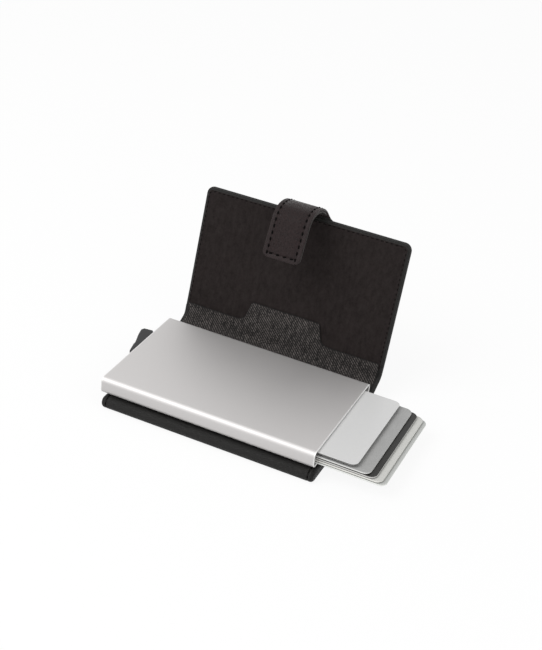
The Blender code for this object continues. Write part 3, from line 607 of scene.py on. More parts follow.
def outlineNormals(outline):
    normals = []
    for number, (a, b) in enumerate(outline):
        (pa, pb), (na, nb) = outline[number - 1], outline[(number + 1) % len(outline)]
        before, after = Vector((a - pa, b - pb)).normalized(), Vector((na - a, nb - b)).normalized()
        first, second = Vector((before.y, -before.x)), Vector((after.y, -after.x))
        joined = (first + second).normalized()
        # the longer reach to a sharp corner has a limit
        normals.append(joined / max(joined.dot(first), 0.4))
    return normals


def panel(name, outline, inner, outer, depth, lay, material, rimSteps=6, sheetShift=0.0, taper=None):
    # a flat panel with a round rim. outline runs anticlockwise; lay puts (a, b, height) in place.
    # taper: (reach, inner height at the rim), where the panel is thinner at its edge
    normals = outlineNormals(outline)
    rimInner = taper[1] if taper else inner
    centre, tall = (rimInner + outer) / 2, (outer - rimInner) / 2
    support = 0.6 * depth
    levels = [(depth + support, outer, 0.0)]
    levels += [(depth * (1 - sin(turn)), centre + tall * cos(turn), float(0 < number < rimSteps))
               for number, turn in enumerate(steps(0, pi, rimSteps))]
    if taper:
        levels += [(depth + support / 2, rimInner, 0.5), (taper[0], inner, 0.0),
                   (taper[0] + support, inner, 0.0)]
    else:
        levels += [(depth + support, inner, 0.0)]
    vertices, rims, sheet = [], [], []
    count = len(outline)
    for inset, height, rim in levels:
        for (a, b), normal in zip(outline, normals):
            spot = (a - normal.x * inset, b - normal.y * inset)
            vertices.append(lay(*spot, height))
            rims.append(rim)
            sheet.append((spot[0], spot[1] + sheetShift))
    faces = ringFaces(len(levels), count)
    faces.append(tuple(range(count)))
    faces.append(tuple(range((len(levels) - 1) * count, len(levels) * count))[::-1])
    return finishPiece(name, vertices, faces, rims, sheet, material)


def cutSquare(piece, lay, u):
    # takes away what lies below a line across the piece, and closes the cut
    place = lay(0, u, 0)
    work = bmesh.new()
    work.from_mesh(piece.data)
    bmesh.ops.bisect_plane(work, geom=work.verts[:] + work.edges[:] + work.faces[:], plane_co=place,
                           plane_no=(lay(0, u + mm, 0) - place).normalized(), clear_inner=True)
    bmesh.ops.holes_fill(work, edges=[edge for edge in work.edges if edge.is_boundary], sides=0)
    bmesh.ops.recalc_face_normals(work, faces=work.faces)
    work.to_mesh(piece.data)
    work.free()
    piece.data.shade_smooth()
    piece.data.set_sharp_from_angle(angle=smoothAngle)


def arcPoints(centre, radius, start, end, count):
    return [(centre[0] + radius * cos(turn), centre[1] + radius * sin(turn))
            for turn in steps(start, end, count)]


def roundBox(low, high, radius, count=8):
    (left, bottom), (right, top) = low, high
    points = []
    for a, b, start in ((right - radius, bottom + radius, -pi / 2), (right - radius, top - radius, 0.0),
                        (left + radius, top - radius, pi / 2), (left + radius, bottom + radius, pi)):
        points += arcPoints((a, b), radius, start, start + pi / 2, count)
    return points


def settle(piece):
    # applies the modifiers and gives the object the plain result
    depsgraph = bpy.context.evaluated_depsgraph_get()
    mesh = bpy.data.meshes.new_from_object(piece.evaluated_get(depsgraph))
    for modifier in list(piece.modifiers):
        piece.modifiers.remove(modifier)
    piece.data = mesh


# the line that the leather follows: up the back of the base, round the two folds, up the cover
# and over the strap's arch to its hanging end
leatherLine = {"middle": 1.0 * mm, "halfWidth": 51.0 * mm, "wallY": 33.2 * mm, "wallZ": 3.5 * mm,
               "fold1Z": 5.0 * mm, "spineRise": radians(27.07), "spineLength": 13.3 * mm,
               "coverRise": radians(76.43), "coverLength": 63.5 * mm, "strapStart": 64.4 * mm,
               "fold1Reach": 1.3 * mm, "fold2Radius": 7.0 * mm, "rootRadius": 3.0 * mm,
               "rootTurn": radians(62), "archHalfChord": 9.0 * mm, "archHalfTurn": radians(28),
               "tightRadius": 3.5 * mm, "tightTurn": radians(50), "tipRadius": 8.0 * mm,
               "tipLength": 19.5 * mm}


def makeLeatherPath(line):
    fold1 = line["spineRise"] - pi / 2
    fold2 = line["coverRise"] - line["spineRise"]
    radius1 = line["fold1Reach"] / tan(-fold1 / 2)
    reach2 = line["fold2Radius"] * tan(fold2 / 2)
    archRadius = line["archHalfChord"] / sin(line["archHalfTurn"])
    # the bend of the tip is eased: it leaves the arch earlier and ends on the same hanging line
    tight, tightTurn, eased = line["tightRadius"], line["tightTurn"], line["tipRadius"]
    hanging = (archRadius - tight) * cos(tightTurn) + tight
    bend = acos((hanging - eased) / (archRadius - eased))
    archTurn = 2 * line["archHalfTurn"] - (bend - tightTurn)
    shorter = (archRadius - tight) * sin(tightTurn) - (archRadius - eased) * sin(bend)
    runs = [(line["fold1Z"] - line["wallZ"] - line["fold1Reach"], 0.0),
            (-radius1 * fold1, fold1),
            (line["spineLength"] - line["fold1Reach"] - reach2, 0.0),
            (line["fold2Radius"] * fold2, fold2),
            (line["strapStart"] - reach2, 0.0),
            (line["rootRadius"] * line["rootTurn"], line["rootTurn"]),
            (archRadius * archTurn, archTurn),
            (eased * bend, bend),
            (line["tipLength"] - shorter, 0.0)]
    path = Path((line["wallY"], line["wallZ"]), pi / 2, runs)
    lengths = [length for length, turn in runs]
    marks = {"fold1": sum(lengths[:1]) + lengths[1] / 2,
             "spineMid": sum(lengths[:2]) + line["spineLength"] / 2 - line["fold1Reach"],
             "fold2Start": sum(lengths[:3]), "fold2End": sum(lengths[:4]),
             "coverZero": sum(lengths[:4]) - reach2,
             "strapZero": sum(lengths[:5]), "archMid": sum(lengths[:6]) + lengths[6] / 2,
             "crease": sum(lengths[:7]) + lengths[7] / 2, "end": sum(lengths)}
    return path, marks


leatherPath, mark = makeLeatherPath(leatherLine)
middleX = leatherLine["middle"]


def onCover(x, u, outward):
    return leatherPath.at(mark["coverZero"] + u, outward) + Vector((middleX + x, 0, 0))


# sizes of the leather at the folds, which the base and the cover join on to.
# bend1 and bend2: where the bend of a fold starts and ends, from the marks of the line
foldLook = {"inner": -0.75 * mm, "outer": 0.5 * mm, "rim": 0.55 * mm, "coverInner": -2.1 * mm,
            "panelStart": 4.2 * mm, "coverRim": 0.75 * mm, "edgeInner": -1.5 * mm, "taper": 1.5 * mm,
            "thinStart": 0.5 * mm, "bend1": (-1.6 * mm, 2.2 * mm), "bend2": (-0.6 * mm, 0.6 * mm)}

# base
baseLook = {"front": -33.2 * mm, "height": 5.8 * mm, "topEnd": 31.0 * mm, "notch": 31.3 * mm,
            "rearRadius": 3.3 * mm, "endRound": 1.6 * mm, "lipRound": 0.6 * mm, "wallGap": 0.5 * mm,
            "topRest": 12.0 * mm, "topFront": -8.0 * mm, "underRear": 22.0 * mm, "plainEnd": 8.0 * mm,
            "thinStart": 27.0 * mm, "thinReach": 5.0 * mm, "crease": 2.5 * mm, "creaseDepth": 0.45 * mm,
            "creaseHalf": 0.5 * mm, "creaseRear": 30.5 * mm}


def makeBase(look):
    nose, top, rear, lip = look["height"] / 2, look["height"], look["rearRadius"], look["lipRound"]
    wall, wallZ = leatherLine["wallY"] + look["wallGap"], leatherLine["wallZ"]
    section = [(look["topEnd"] - lip - look["topRest"], top), (look["topFront"], top)]
    section += arcPoints((look["front"] + nose, nose), nose, pi / 2, 3 * pi / 2, 22)
    section += [(0.0, 0.0), (look["underRear"], 0.0)]
    section += arcPoints((wall - rear, rear), rear, -pi / 2, 0.0, 12)
    section += [(wall, wallZ), (look["notch"], wallZ)]
    section += arcPoints((look["topEnd"] - lip, top - lip), lip, 0.0, pi / 2, 5)
    normals = outlineNormals(section)[::-1]
    section = section[::-1]
    count = len(section)
    # the ends are rounded less where the thin leather of the fold starts
    thin = [limit((y - look["thinStart"]) / look["thinReach"]) for y, z in section]
    rounds = [look["endRound"] * (1 - share) + foldLook["rim"] * share for share in thin]
    low, high = middleX - leatherLine["halfWidth"], middleX + leatherLine["halfWidth"]
    rings, rims = [], []

    def addRing(places, insets, rim):
        rings.append([Vector((x, y - normal.x * inset, z - normal.y * inset))
                      for x, (y, z), normal, inset in zip(places, section, normals, insets)])
        rims.extend([rim] * count)

    def addEnd(end, way, turns):
        for turn in turns:
            addRing([end + way * r * (1 - sin(turn)) for r in rounds],
                    [r * (1 - cos(turn)) for r in rounds], 1.0 if turn > 0.1 else 0.0)

    def addCrease(place):
        for side, share in ((-1.0, 0.0), (-0.5, 0.5), (0.0, 1.0), (0.5, 0.5), (1.0, 0.0)):
            depths = [share * look["creaseDepth"] * (0.0 if y > look["creaseRear"] else 1.0)
                      for y, z in section]
            addRing([place + side * look["creaseHalf"]] * count, depths, 0.0)

    addEnd(low, 1, steps(pi / 2, 0.0, 7))
    addCrease(low + look["crease"])
    for x in steps(low + look["plainEnd"], high - look["plainEnd"], 6):
        addRing([x] * count, [0.0] * count, 0.0)
    addCrease(high - look["crease"])
    addEnd(high, -1, steps(0.0, pi / 2, 7))
    vertices = [point for ring in rings for point in ring]
    sheet = [(point.x, point.y) for point in vertices]
    faces = ringFaces(len(rings), count, turned=True)
    faces.append(tuple(range(count))[::-1])
    faces.append(tuple(range((len(rings) - 1) * count, len(rings) * count)))
    return finishPiece("leather_base", vertices, faces, rims, sheet, baseLeather)


leatherBase = makeBase(baseLook)
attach(leatherBase, "base")
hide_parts("base_leather")
print("base made")


# leather round the two folds
def makeFolds(look):
    half = leatherLine["halfWidth"]

    def station(distance):
        # the leather grows from the thin spine to the padded cover
        start = mark["fold2Start"] + look["thinStart"]
        share = limit((distance - start) / (mark["fold2End"] - start))
        share = share * share * (3 - 2 * share)
        return (distance, half, look["inner"] + (look["coverInner"] - look["inner"]) * share,
                look["outer"], look["rim"] + (look["coverRim"] - look["rim"]) * share)

    lower = [station(d) for d in steps(0.0, mark["spineMid"], 20)]
    upper = [station(d) for d in steps(mark["spineMid"], mark["coverZero"] + look["panelStart"], 26)]
    return (loftSlab("leather_fold_base", leatherPath, middleX, lower, blackLeather, across=12),
            loftSlab("leather_fold_cover", leatherPath, middleX, upper, blackLeather, across=12))


leatherFold1, leatherFold2 = makeFolds(foldLook)
leatherPath.at(mark["fold1"] + foldLook["bend1"][0])
leatherPath.at(mark["fold1"] + foldLook["bend1"][1])
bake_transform(leatherFold1)
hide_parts("spine_leather")
leatherPath.at(mark["fold2Start"] + foldLook["bend2"][0])
leatherPath.at(mark["fold2End"] + foldLook["bend2"][1])
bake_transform(leatherFold2)
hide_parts("spine_leather")
print("folds made")

# cover
coverLook = {"corner": 3.6 * mm, "tongueInner": -0.62 * mm, "tongueRim": 0.3 * mm, "strapHalf": 9.0 * mm,
             "flare": 6.0 * mm, "flareLength": 5.15 * mm, "footSpare": 3.0 * mm, "tongueSpare": 4.0 * mm}


def flareAt(height):
    # how much wider the tongue is on each side, at a height above the cover's edge.
    # It starts where the outer face of the cover turns into its round rim
    above = max(height + foldLook["coverRim"], 0.0)
    share = max(0.0, 1 - above / coverLook["flareLength"])
    return coverLook["flare"] * (1 - sqrt(1 - share * share))


def makeCover(look):
    half, top, corner = leatherLine["halfWidth"], leatherLine["coverLength"], look["corner"]
    start, outer, rim = foldLook["panelStart"], foldLook["outer"], foldLook["coverRim"]
    # the panel is made longer at its foot, and a square cut brings it back to the fold's edge
    right = [(half, u) for u in steps(start - look["footSpare"], top - corner, 6)]
    right += arcPoints((half - corner, top - corner), corner, 0, pi / 2, 14)[1:]
    body = panel("leather_cover", right + mirrored(right), foldLook["coverInner"], outer, rim, onCover,
                 blackLeather, rimSteps=10, sheetShift=mark["coverZero"],
                 taper=(foldLook["taper"], foldLook["edgeInner"]))
    cutSquare(body, onCover, start)

    # tongue of the outer leather, which runs on as the strap
    edge = look["strapHalf"]
    rise = leatherLine["strapStart"] - top + rim
    right = [(edge + look["flare"], top - look["tongueSpare"])]
    right += [(edge + flareAt(rise * share * share - rim), top + rise * share * share - rim)
              for share in steps(0, 1, 16)]
    tongue = panel("tongue", right + mirrored(right), look["tongueInner"], outer, look["tongueRim"],
                   onCover, blackLeather, rimSteps=8, sheetShift=mark["coverZero"])
    cutSquare(tongue, onCover, top - rim)
    return body, tongue


coverPanel, coverTongue = makeCover(coverLook)
for piece in (coverPanel, coverTongue):
    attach(piece, "cover")
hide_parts("cover_leather")
print("cover made")

# cover lining
liningLook = {"inset": 1.4 * mm, "corner": 2.0 * mm, "low": -1.95 * mm, "high": -2.3 * mm,
              "rim": 0.25 * mm, "start": 1.8 * mm}


def makeLining(look):
    half, top = leatherLine["halfWidth"] - look["inset"], leatherLine["coverLength"] - look["inset"]
    outline = roundBox((-half, look["start"]), (half, top), look["corner"])
    return panel("lining_cover", outline, look["high"], look["low"], look["rim"], onCover, brushedLining)


coverLining = makeLining(liningLook)
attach(coverLining, "cover")
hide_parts("cover_lining")
print("lining made")

# canvas: spine lining and pocket
canvasSizes = {"side": 1.9 * mm, "half": 0.3 * mm, "pocketHalf": 0.25 * mm, "spineDepth": -1.1 * mm,
               "pocketDepth": -2.9 * mm, "baseY": 32.05 * mm, "baseZ": 4.3 * mm, "radius1": 1.5 * mm,
               "radius2": 4.0 * mm, "rim": 0.2 * mm, "pocketRim": 0.5 * mm, "split": 4.0 * mm,
               "footSpare": 2.0 * mm, "reach": 60.0 * mm, "band": 6.1 * mm, "tabRise": 9.8 * mm,
               "tabTop": 34.6 * mm, "tabFoot": 40.0 * mm, "fillet": 4.2 * mm, "tabCorner": 1.6 * mm,
               "bend1": (-1.2 * mm, 1.6 * mm), "bend2": (0.3 * mm, 2.4 * mm)}


def makeCanvasPath(sizes):
    line = leatherLine
    rise, lean = line["spineRise"], line["coverRise"]
    fold1 = Vector((line["wallY"], line["fold1Z"]))
    along = Vector((cos(rise), sin(rise)))
    spineStart = fold1 + Vector((sin(rise), -cos(rise))) * sizes["spineDepth"]
    fold2 = fold1 + along * line["spineLength"]
    coverAlong = Vector((cos(lean), sin(lean)))
    coverStart = fold2 + Vector((sin(lean), -cos(lean))) * sizes["pocketDepth"]
    # where the upright foot meets the spine's line, and the spine's line meets the cover's
    first = (sizes["baseY"] - spineStart.x) / along.x
    corner1 = spineStart + along * first
    cross = along.x * coverAlong.y - along.y * coverAlong.x
    gap = coverStart - spineStart
    second = (gap.x * coverAlong.y - gap.y * coverAlong.x) / cross
    corner2 = spineStart + along * second
    coverBelow = (corner2 - coverStart).dot(coverAlong)
    turn1, turn2 = rise - pi / 2, lean - rise
    reach1, reach2 = sizes["radius1"] * tan(-turn1 / 2), sizes["radius2"] * tan(turn2 / 2)
    runs = [(corner1.y - sizes["baseZ"] - reach1, 0.0), (-sizes["radius1"] * turn1, turn1),
            (second - first - reach1 - reach2, 0.0), (sizes["radius2"] * turn2, turn2),
            (sizes["reach"], 0.0)]
    lengths = [length for length, turn in runs]
    path = Path((sizes["baseY"], sizes["baseZ"]), pi / 2, runs)
    marks = {"fold1": lengths[0] + lengths[1] / 2, "spineMid": sum(lengths[:2]) + lengths[2] / 2,
             "fold2Start": sum(lengths[:3]), "fold2End": sum(lengths[:4]),
             "coverZero": sum(lengths[:4]) - reach2 - coverBelow}
    return path, marks


canvasPath, canvasMark = makeCanvasPath(canvasSizes)


def onPocket(x, u, outward):
    return canvasPath.at(canvasMark["coverZero"] + u, outward) + Vector((middleX + x, 0, 0))


def makeCanvas(sizes):
    half = leatherLine["halfWidth"] - sizes["side"]
    thick, pocketThick = sizes["half"], sizes["pocketHalf"]

    def row(distance):
        fold = canvasMark["fold2End"] - canvasMark["fold2Start"]
        tall = thick + (pocketThick - thick) * limit((distance - canvasMark["fold2Start"]) / fold)
        return (distance, half, -tall, tall, sizes["rim"])

    splitAt = canvasMark["coverZero"] + sizes["split"]
    lower = loftSlab("canvas_fold_base", canvasPath, middleX,
                     [row(d) for d in steps(0.0, canvasMark["spineMid"], 22)], greyCanvas)
    upper = loftSlab("canvas_fold_cover", canvasPath, middleX,
                     [row(d) for d in steps(canvasMark["spineMid"], splitAt, 26)], greyCanvas)

    band, top = sizes["band"], sizes["band"] + sizes["tabRise"]
    foot, shoulder = sizes["tabFoot"] / 2, sizes["tabTop"] / 2
    slant = atan2(sizes["tabRise"], foot - shoulder)
    ease = tan(slant / 2)
    hollow = (foot + sizes["fillet"] * ease, band + sizes["fillet"])
    corner = (shoulder - sizes["tabCorner"] * ease, top - sizes["tabCorner"])
    right = [(half, sizes["split"] - sizes["footSpare"]), (half, band)]
    right += arcPoints(hollow, sizes["fillet"], -pi / 2, -pi / 2 - slant, 10)
    right += arcPoints(corner, sizes["tabCorner"], pi / 2 - slant, pi / 2, 6)
    pocket = panel("canvas_pocket", right + mirrored(right), -pocketThick, pocketThick,
                   sizes["pocketRim"], onPocket, greyCanvas, sheetShift=canvasMark["coverZero"])
    cutSquare(pocket, onPocket, sizes["split"])
    return lower, upper, pocket


canvasFold1, canvasFold2, canvasPocket = makeCanvas(canvasSizes)
bend1, bend2 = canvasSizes["bend1"], canvasSizes["bend2"]
canvasPath.at(canvasMark["fold1"] + bend1[0])
canvasPath.at(canvasMark["fold1"] + bend1[1])
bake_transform(canvasFold1)
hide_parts("spine_lining")
canvasPath.at(canvasMark["fold2Start"] + bend2[0])
canvasPath.at(canvasMark["coverZero"] + bend2[1])
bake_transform(canvasFold2)
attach(canvasPocket, "cover")
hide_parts("pocket_panel")
print("canvas made")

# strap
strapSizes = {"half": 9.0 * mm, "outer": 0.5 * mm, "inner": -0.62 * mm, "liningOuter": -0.70 * mm,
              "liningInner": -1.6 * mm, "rim": 0.3 * mm, "corner": 2.6 * mm, "liningStart": 1.6 * mm,
              "seam": 2.1 * mm, "pitch": 2.95 * mm, "stitch": 1.75 * mm, "thread": 0.85 * mm,
              "grooveHalf": 0.5 * mm, "grooveDepth": 0.2 * mm, "threadRise": 0.1 * mm,
              "seamStart": 2.2 * mm, "least": 0.01 * mm, "rootBend": (-0.2 * mm, 3.6 * mm),
              "creaseBend": (-6.0 * mm, 6.0 * mm)}


def strapStations(sizes, low, high, inner, outer, roundStart, roundEnd, count):
    rim, corner, least = sizes["rim"], sizes["corner"], sizes["least"]
    middle, tall = (inner + outer) / 2, (outer - inner) / 2
    lift = leatherLine["strapStart"] - leatherLine["coverLength"]
    rows = []

    def wide(distance):
        # the start of the backing has its corners taken off
        into = max(0.0, low + corner / 2 - distance) if roundStart else 0.0
        return sizes["half"] + flareAt(distance - mark["strapZero"] + lift) - into * into / corner

    def squeezed(turn):
        half = max(tall * cos(turn), least)
        return middle - half, middle + half

    if roundStart:
        rows += [(low + rim * (1 - sin(turn)), wide(low), *squeezed(turn), rim)
                 for turn in steps(pi / 2, 0, 5)[:-1]]
    last = high - corner if roundEnd else high
    rows += [(d, wide(d), inner, outer, rim) for d in steps(low + (rim if roundStart else 0.0), last, count)]
    if roundEnd:
        flat, reach = sizes["half"] - corner, corner - rim
        rows += [(last + reach * sin(turn), flat + reach * cos(turn) + rim, inner, outer, rim)
                 for turn in steps(0, pi / 2, 12)[1:]]
        rows += [(last + reach + rim * sin(turn), flat + rim * cos(turn) + least / 10, *squeezed(turn),
                  max(rim * cos(turn), least / 10)) for turn in steps(0, pi / 2, 5)[1:]]
    return rows


def strapSeam(sizes):
    # the seam runs down both sides and across the end, in a shallow groove.
    # The strip outside it counts in part as a worn rim
    seam, last, reach = sizes["half"] - sizes["seam"], mark["end"] - sizes["seam"], sizes["grooveHalf"]
    outsideRim, faraway = 0.55, 1.0
    beside = [-1.0, -0.5, 0.0, 0.5, 1.0]
    places = [-sizes["half"]] + [-seam + reach * part for part in beside]
    places += steps(-seam + reach, seam - reach, 5)[1:-1]
    places += [seam + reach * part for part in beside] + [sizes["half"]]

    def dip(x, distance):
        side = abs(x) - seam
        if distance <= last:
            away = min(abs(side), last - distance if side <= 0 else faraway)
        else:
            away = distance - last if side <= 0 else sqrt(side * side + (distance - last) ** 2)
        outside = side > 0 or distance > last
        share = max(0.0, 1.0 - (away / reach) ** 2)
        return sizes["grooveDepth"] * share, outsideRim * (1 - share) if outside else 0.0

    return places, dip


def makeStrap(sizes):
    start, split, end = mark["strapZero"], mark["archMid"], mark["end"]
    made = []
    for name, low, inner, outer, material in (
            ("leather", start, sizes["inner"], sizes["outer"], strapLeather),
            ("backing", start + sizes["liningStart"], sizes["liningInner"], sizes["liningOuter"],
             strapBacking)):
        seam = strapSeam(sizes) if name == "leather" else None
        across = len(seam[0]) - 1 if seam else 10
        root = strapStations(sizes, low, split, inner, outer, name == "backing", False, 22)
        tip = strapStations(sizes, split, end, inner, outer, False, True, 60)
        made.append([loftSlab(f"strap_{name}_{part}", leatherPath, middleX, rows, material, across, seam)
                     for part, rows in (("root", root), ("end", tip))])
    return made


(strapRoot, strapEnd), (backingRoot, backingEnd) = makeStrap(strapSizes)


# stitching
def makeStitchTree():
    # stitches along a guide line: evenly spaced, laid along the line and turned to its outward side
    tree = bpy.data.node_groups.new("stitchLine", "GeometryNodeTree")
    inputs = {}
    for label, kind, value in (("Geometry", "NodeSocketGeometry", None), ("Pitch", floatSocket, 0.0023),
                               ("Length", floatSocket, 0.0015), ("Thread", floatSocket, 0.0006),
                               ("Slant", floatSocket, 0.12), ("Material", "NodeSocketMaterial", None)):
        socket = tree.interface.new_socket(name=label, in_out="INPUT", socket_type=kind)
        if value is not None:
            socket.default_value = value
        inputs[label] = socket.identifier
    tree.interface.new_socket(name="Geometry", in_out="OUTPUT", socket_type="NodeSocketGeometry")
    given = tree.nodes.new("NodeGroupInput").outputs
    result = tree.nodes.new("NodeGroupOutput").inputs
    line = put(tree, "GeometryNodeMeshToCurve", {0: given["Geometry"]})
    spaced = put(tree, "GeometryNodeResampleCurve", {"Curve": line.outputs[0], "Length": given["Pitch"]},
                 mode="LENGTH")
    outward = put(tree, "GeometryNodeInputNamedAttribute", {"Name": "outward"}, data_type="FLOAT_VECTOR")
    tangent = put(tree, "GeometryNodeInputTangent")
    turned = put(tree, "FunctionNodeAxesToRotation", {0: outward.outputs[0], 1: tangent.outputs[0]},
                 primary_axis="Z", secondary_axis="X")
    slant = put(tree, "ShaderNodeCombineXYZ", {2: given["Slant"]})
    slanted = put(tree, "FunctionNodeRotateRotation", {0: turned.outputs[0], 1: slant.outputs[0]},
                  rotation_space="LOCAL")
    bead = put(tree, "GeometryNodeMeshUVSphere", {"Segments": 8, "Rings": 6, "Radius": 0.5})
    size = put(tree, "ShaderNodeCombineXYZ", {0: given["Length"], 1: given["Thread"], 2: given["Thread"]})
    shaped = put(tree, "GeometryNodeTransform", {"Geometry": bead.outputs[0], "Scale": size.outputs[0]})
    laid = put(tree, "GeometryNodeInstanceOnPoints", {"Points": spaced.outputs[0],
                                                      "Instance": shaped.outputs[0],
                                                      "Rotation": slanted.outputs[0]})
    real = put(tree, "GeometryNodeRealizeInstances", {0: laid.outputs[0]})
    smooth = put(tree, "GeometryNodeSetShadeSmooth", {0: real.outputs[0]})
    coloured = put(tree, "GeometryNodeSetMaterial", {0: smooth.outputs[0], "Material": given["Material"]})
    tree.links.new(coloured.outputs[0], result[0])
    return tree, inputs


stitchTree, stitchInputs = makeStitchTree()


def stitchPiece(name, lines, sizes):
    # lines: lists of (place, outward side)
    vertices, edges, outwards = [], [], []
    for line in lines:
        for number, (place, outward) in enumerate(line):
            vertices.append(place)
            outwards.append(outward.normalized())
            if number:
                edges.append((len(vertices) - 2, len(vertices) - 1))
    mesh = bpy.data.meshes.new(name)
    mesh.from_pydata([tuple(point) for point in vertices], edges, [])
    attribute = mesh.attributes.new("outward", "FLOAT_VECTOR", "POINT")
    attribute.data.foreach_set("vector", [value for vector in outwards for value in vector])
    piece = bpy.data.objects.new(name, mesh)
    scene.collection.objects.link(piece)
    modifier = piece.modifiers.new("stitches", "NODES")
    modifier.node_group = stitchTree
    for label, value in (("Pitch", sizes["pitch"]), ("Length", sizes["stitch"]),
                         ("Thread", sizes["thread"]), ("Material", blackThread)):
        modifier[stitchInputs[label]] = value
    settle(piece)
    piece.data.name = name
    return piece


def onStrap(x, distance, height):
    surface = leatherPath.at(distance, height)
    return surface + Vector((middleX + x, 0, 0)), surface - leatherPath.at(distance, 0)


def makeStitches(sizes):
    seam = sizes["half"] - sizes["seam"]
    height = sizes["outer"] - sizes["grooveDepth"] + sizes["threadRise"]
    last, split, halfPitch = mark["end"] - sizes["seam"], mark["archMid"], sizes["pitch"] / 2

    def sides(low, high, count):
        return [[onStrap(side * seam, d, height) for d in steps(low, high, count)] for side in (-1, 1)]

    root = sides(mark["strapZero"] + sizes["seamStart"], split - halfPitch, 40)
    cornerGap = 0.62 * sizes["pitch"]
    endLine = [onStrap(x, last, height) for x in steps(-seam + cornerGap, seam - cornerGap, 30)]
    return (stitchPiece("strap_stitches_root", root, sizes),
            stitchPiece("strap_stitches_end", sides(split + halfPitch, last, 60) + [endLine], sizes))


stitchesRoot, stitchesEnd = makeStitches(strapSizes)

seamSizes = {"pitch": 2.3 * mm, "stitch": 1.5 * mm, "thread": 0.36 * mm, "baseThread": 0.6 * mm,
             "inset": 1.9 * mm, "corner": 2.4 * mm, "low": 7.4 * mm, "strapClear": 15.0 * mm,
             "lift": 0.02 * mm, "baseLift": 0.06 * mm, "baseInset": 2.5 * mm, "baseBack": -16.0 * mm,
             "baseTurn": radians(236)}


def makeEdgeSeams(sizes):
    # one line round the inside of the cover, two on its outside, and one at each end of the base
    half, top = leatherLine["halfWidth"] - sizes["inset"], leatherLine["coverLength"] - sizes["inset"]
    corner = sizes["corner"]
    right = [(half, u) for u in steps(sizes["low"], top - corner, 50)]
    right += arcPoints((half - corner, top - corner), corner, 0, pi / 2, 10)[1:]

    def line(outline, height, way):
        normal = onCover(0, 0, way) - onCover(0, 0, 0)
        return [(onCover(x, u, height), normal) for x, u in outline]

    lines = [line(right + mirrored(right), liningLook["high"] - sizes["lift"], -1.0)]
    for side in (-1, 1):
        outside = [(side * x, u) for x, u in right + [(sizes["strapClear"], top)]]
        lines.append(line(outside, foldLook["outer"] + sizes["lift"], 1.0))
    cover = stitchPiece("cover_stitches", lines, sizes)

    nose = baseLook["height"] / 2
    depth = nose - baseLook["creaseDepth"] + sizes["baseLift"]
    ends = []
    for side in (-1, 1):
        x = middleX + side * (leatherLine["halfWidth"] - sizes["baseInset"])
        centre = Vector((x, baseLook["front"] + nose, nose))
        run = [(centre + Vector((0, back, depth)), Vector((0, 0, 1)))
               for back in steps(sizes["baseBack"] - centre.y, 0, 12)[:-1]]
        for turn in steps(pi / 2, sizes["baseTurn"], 24):
            outward = Vector((0, cos(turn), sin(turn)))
            run.append((centre + outward * depth, outward))
        ends.append(run)
    return cover, stitchPiece("base_stitches", ends, {**sizes, "thread": sizes["baseThread"]})


coverStitches, baseStitches = makeEdgeSeams(seamSizes)
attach(coverStitches, "cover")
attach(baseStitches, "base")
rootStart, rootEnd = (leatherPath.at(mark["strapZero"] + reach) for reach in strapSizes["rootBend"])
creaseStart, creaseEnd = (leatherPath.at(mark["crease"] + reach) for reach in strapSizes["creaseBend"])
for piece, node, slotName in ((strapRoot, "strap_band_leather", "black_leather"),
                              (backingRoot, "strap_band_lining", "strap_lining"),
                              (stitchesRoot, None, None)):
    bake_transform(piece)
    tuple(rootStart)
    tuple(rootEnd)
    if node:
        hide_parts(node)
for piece, node, slotName in ((strapEnd, "strap_tip_leather", "black_leather"),
                              (backingEnd, "strap_tip_lining", "strap_lining"),
                              (stitchesEnd, None, None)):
    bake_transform(piece)
    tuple(creaseStart)
    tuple(creaseEnd)
    if node:
        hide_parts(node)
print("strap made")

# case
caseSizes = {"halfLength": 51.0 * mm, "halfWidth": 31.5 * mm, "bottom": 6.8 * mm, "top": 14.8 * mm,
             "wall": 0.8 * mm, "corner": 2.4 * mm, "innerCorner": 0.5 * mm, "ease": 0.22 * mm}


def makeCase(sizes):
    ease, wall, end = sizes["ease"], sizes["wall"], sizes["halfLength"]
    flat = end - 3 * ease

    def loop(x, inset, rim):
        radius = sizes["corner"] + (sizes["innerCorner"] - sizes["corner"]) * inset / wall
        section = roundBox((-sizes["halfWidth"] + inset, sizes["bottom"] + inset),
                           (sizes["halfWidth"] - inset, sizes["top"] - inset), radius)
        return [(Vector((x, y, z)), rim) for y, z in section]

    # each end of the wall is rounded on its outside and on its inside
    outward = [(end - ease + ease * sin(turn), ease * (1 - cos(turn))) for turn in steps(0, pi / 2, 5)]
    inward = [(x, wall - inset) for x, inset in outward[::-1]]
    loops = [loop(x, 0.0, 0.0) for x in steps(-flat, flat, 4)]
    loops += [loop(x, inset, 1.0) for x, inset in outward + inward]
    loops += [loop(x, wall, 0.0) for x in steps(flat, -flat, 4)]
    loops += [loop(-x, inset, 1.0) for x, inset in inward[::-1] + outward[::-1]]
    vertices = [point for ring in loops for point, rim in ring]
    rims = [rim for ring in loops for point, rim in ring]
    sheet = [(point.x, point.y) for point in vertices]
    faces = ringFaces(len(loops), len(loops[0]), turned=True, closed=True)
    return finishPiece("case_shell", vertices, faces, rims, sheet, satinCase)


caseShell = makeCase(caseSizes)
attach(caseShell, "base")
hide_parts("case_tube")
print("case made")

# cards
cardSizes = {"corner": 3.18 * mm, "rim": 0.14 * mm}


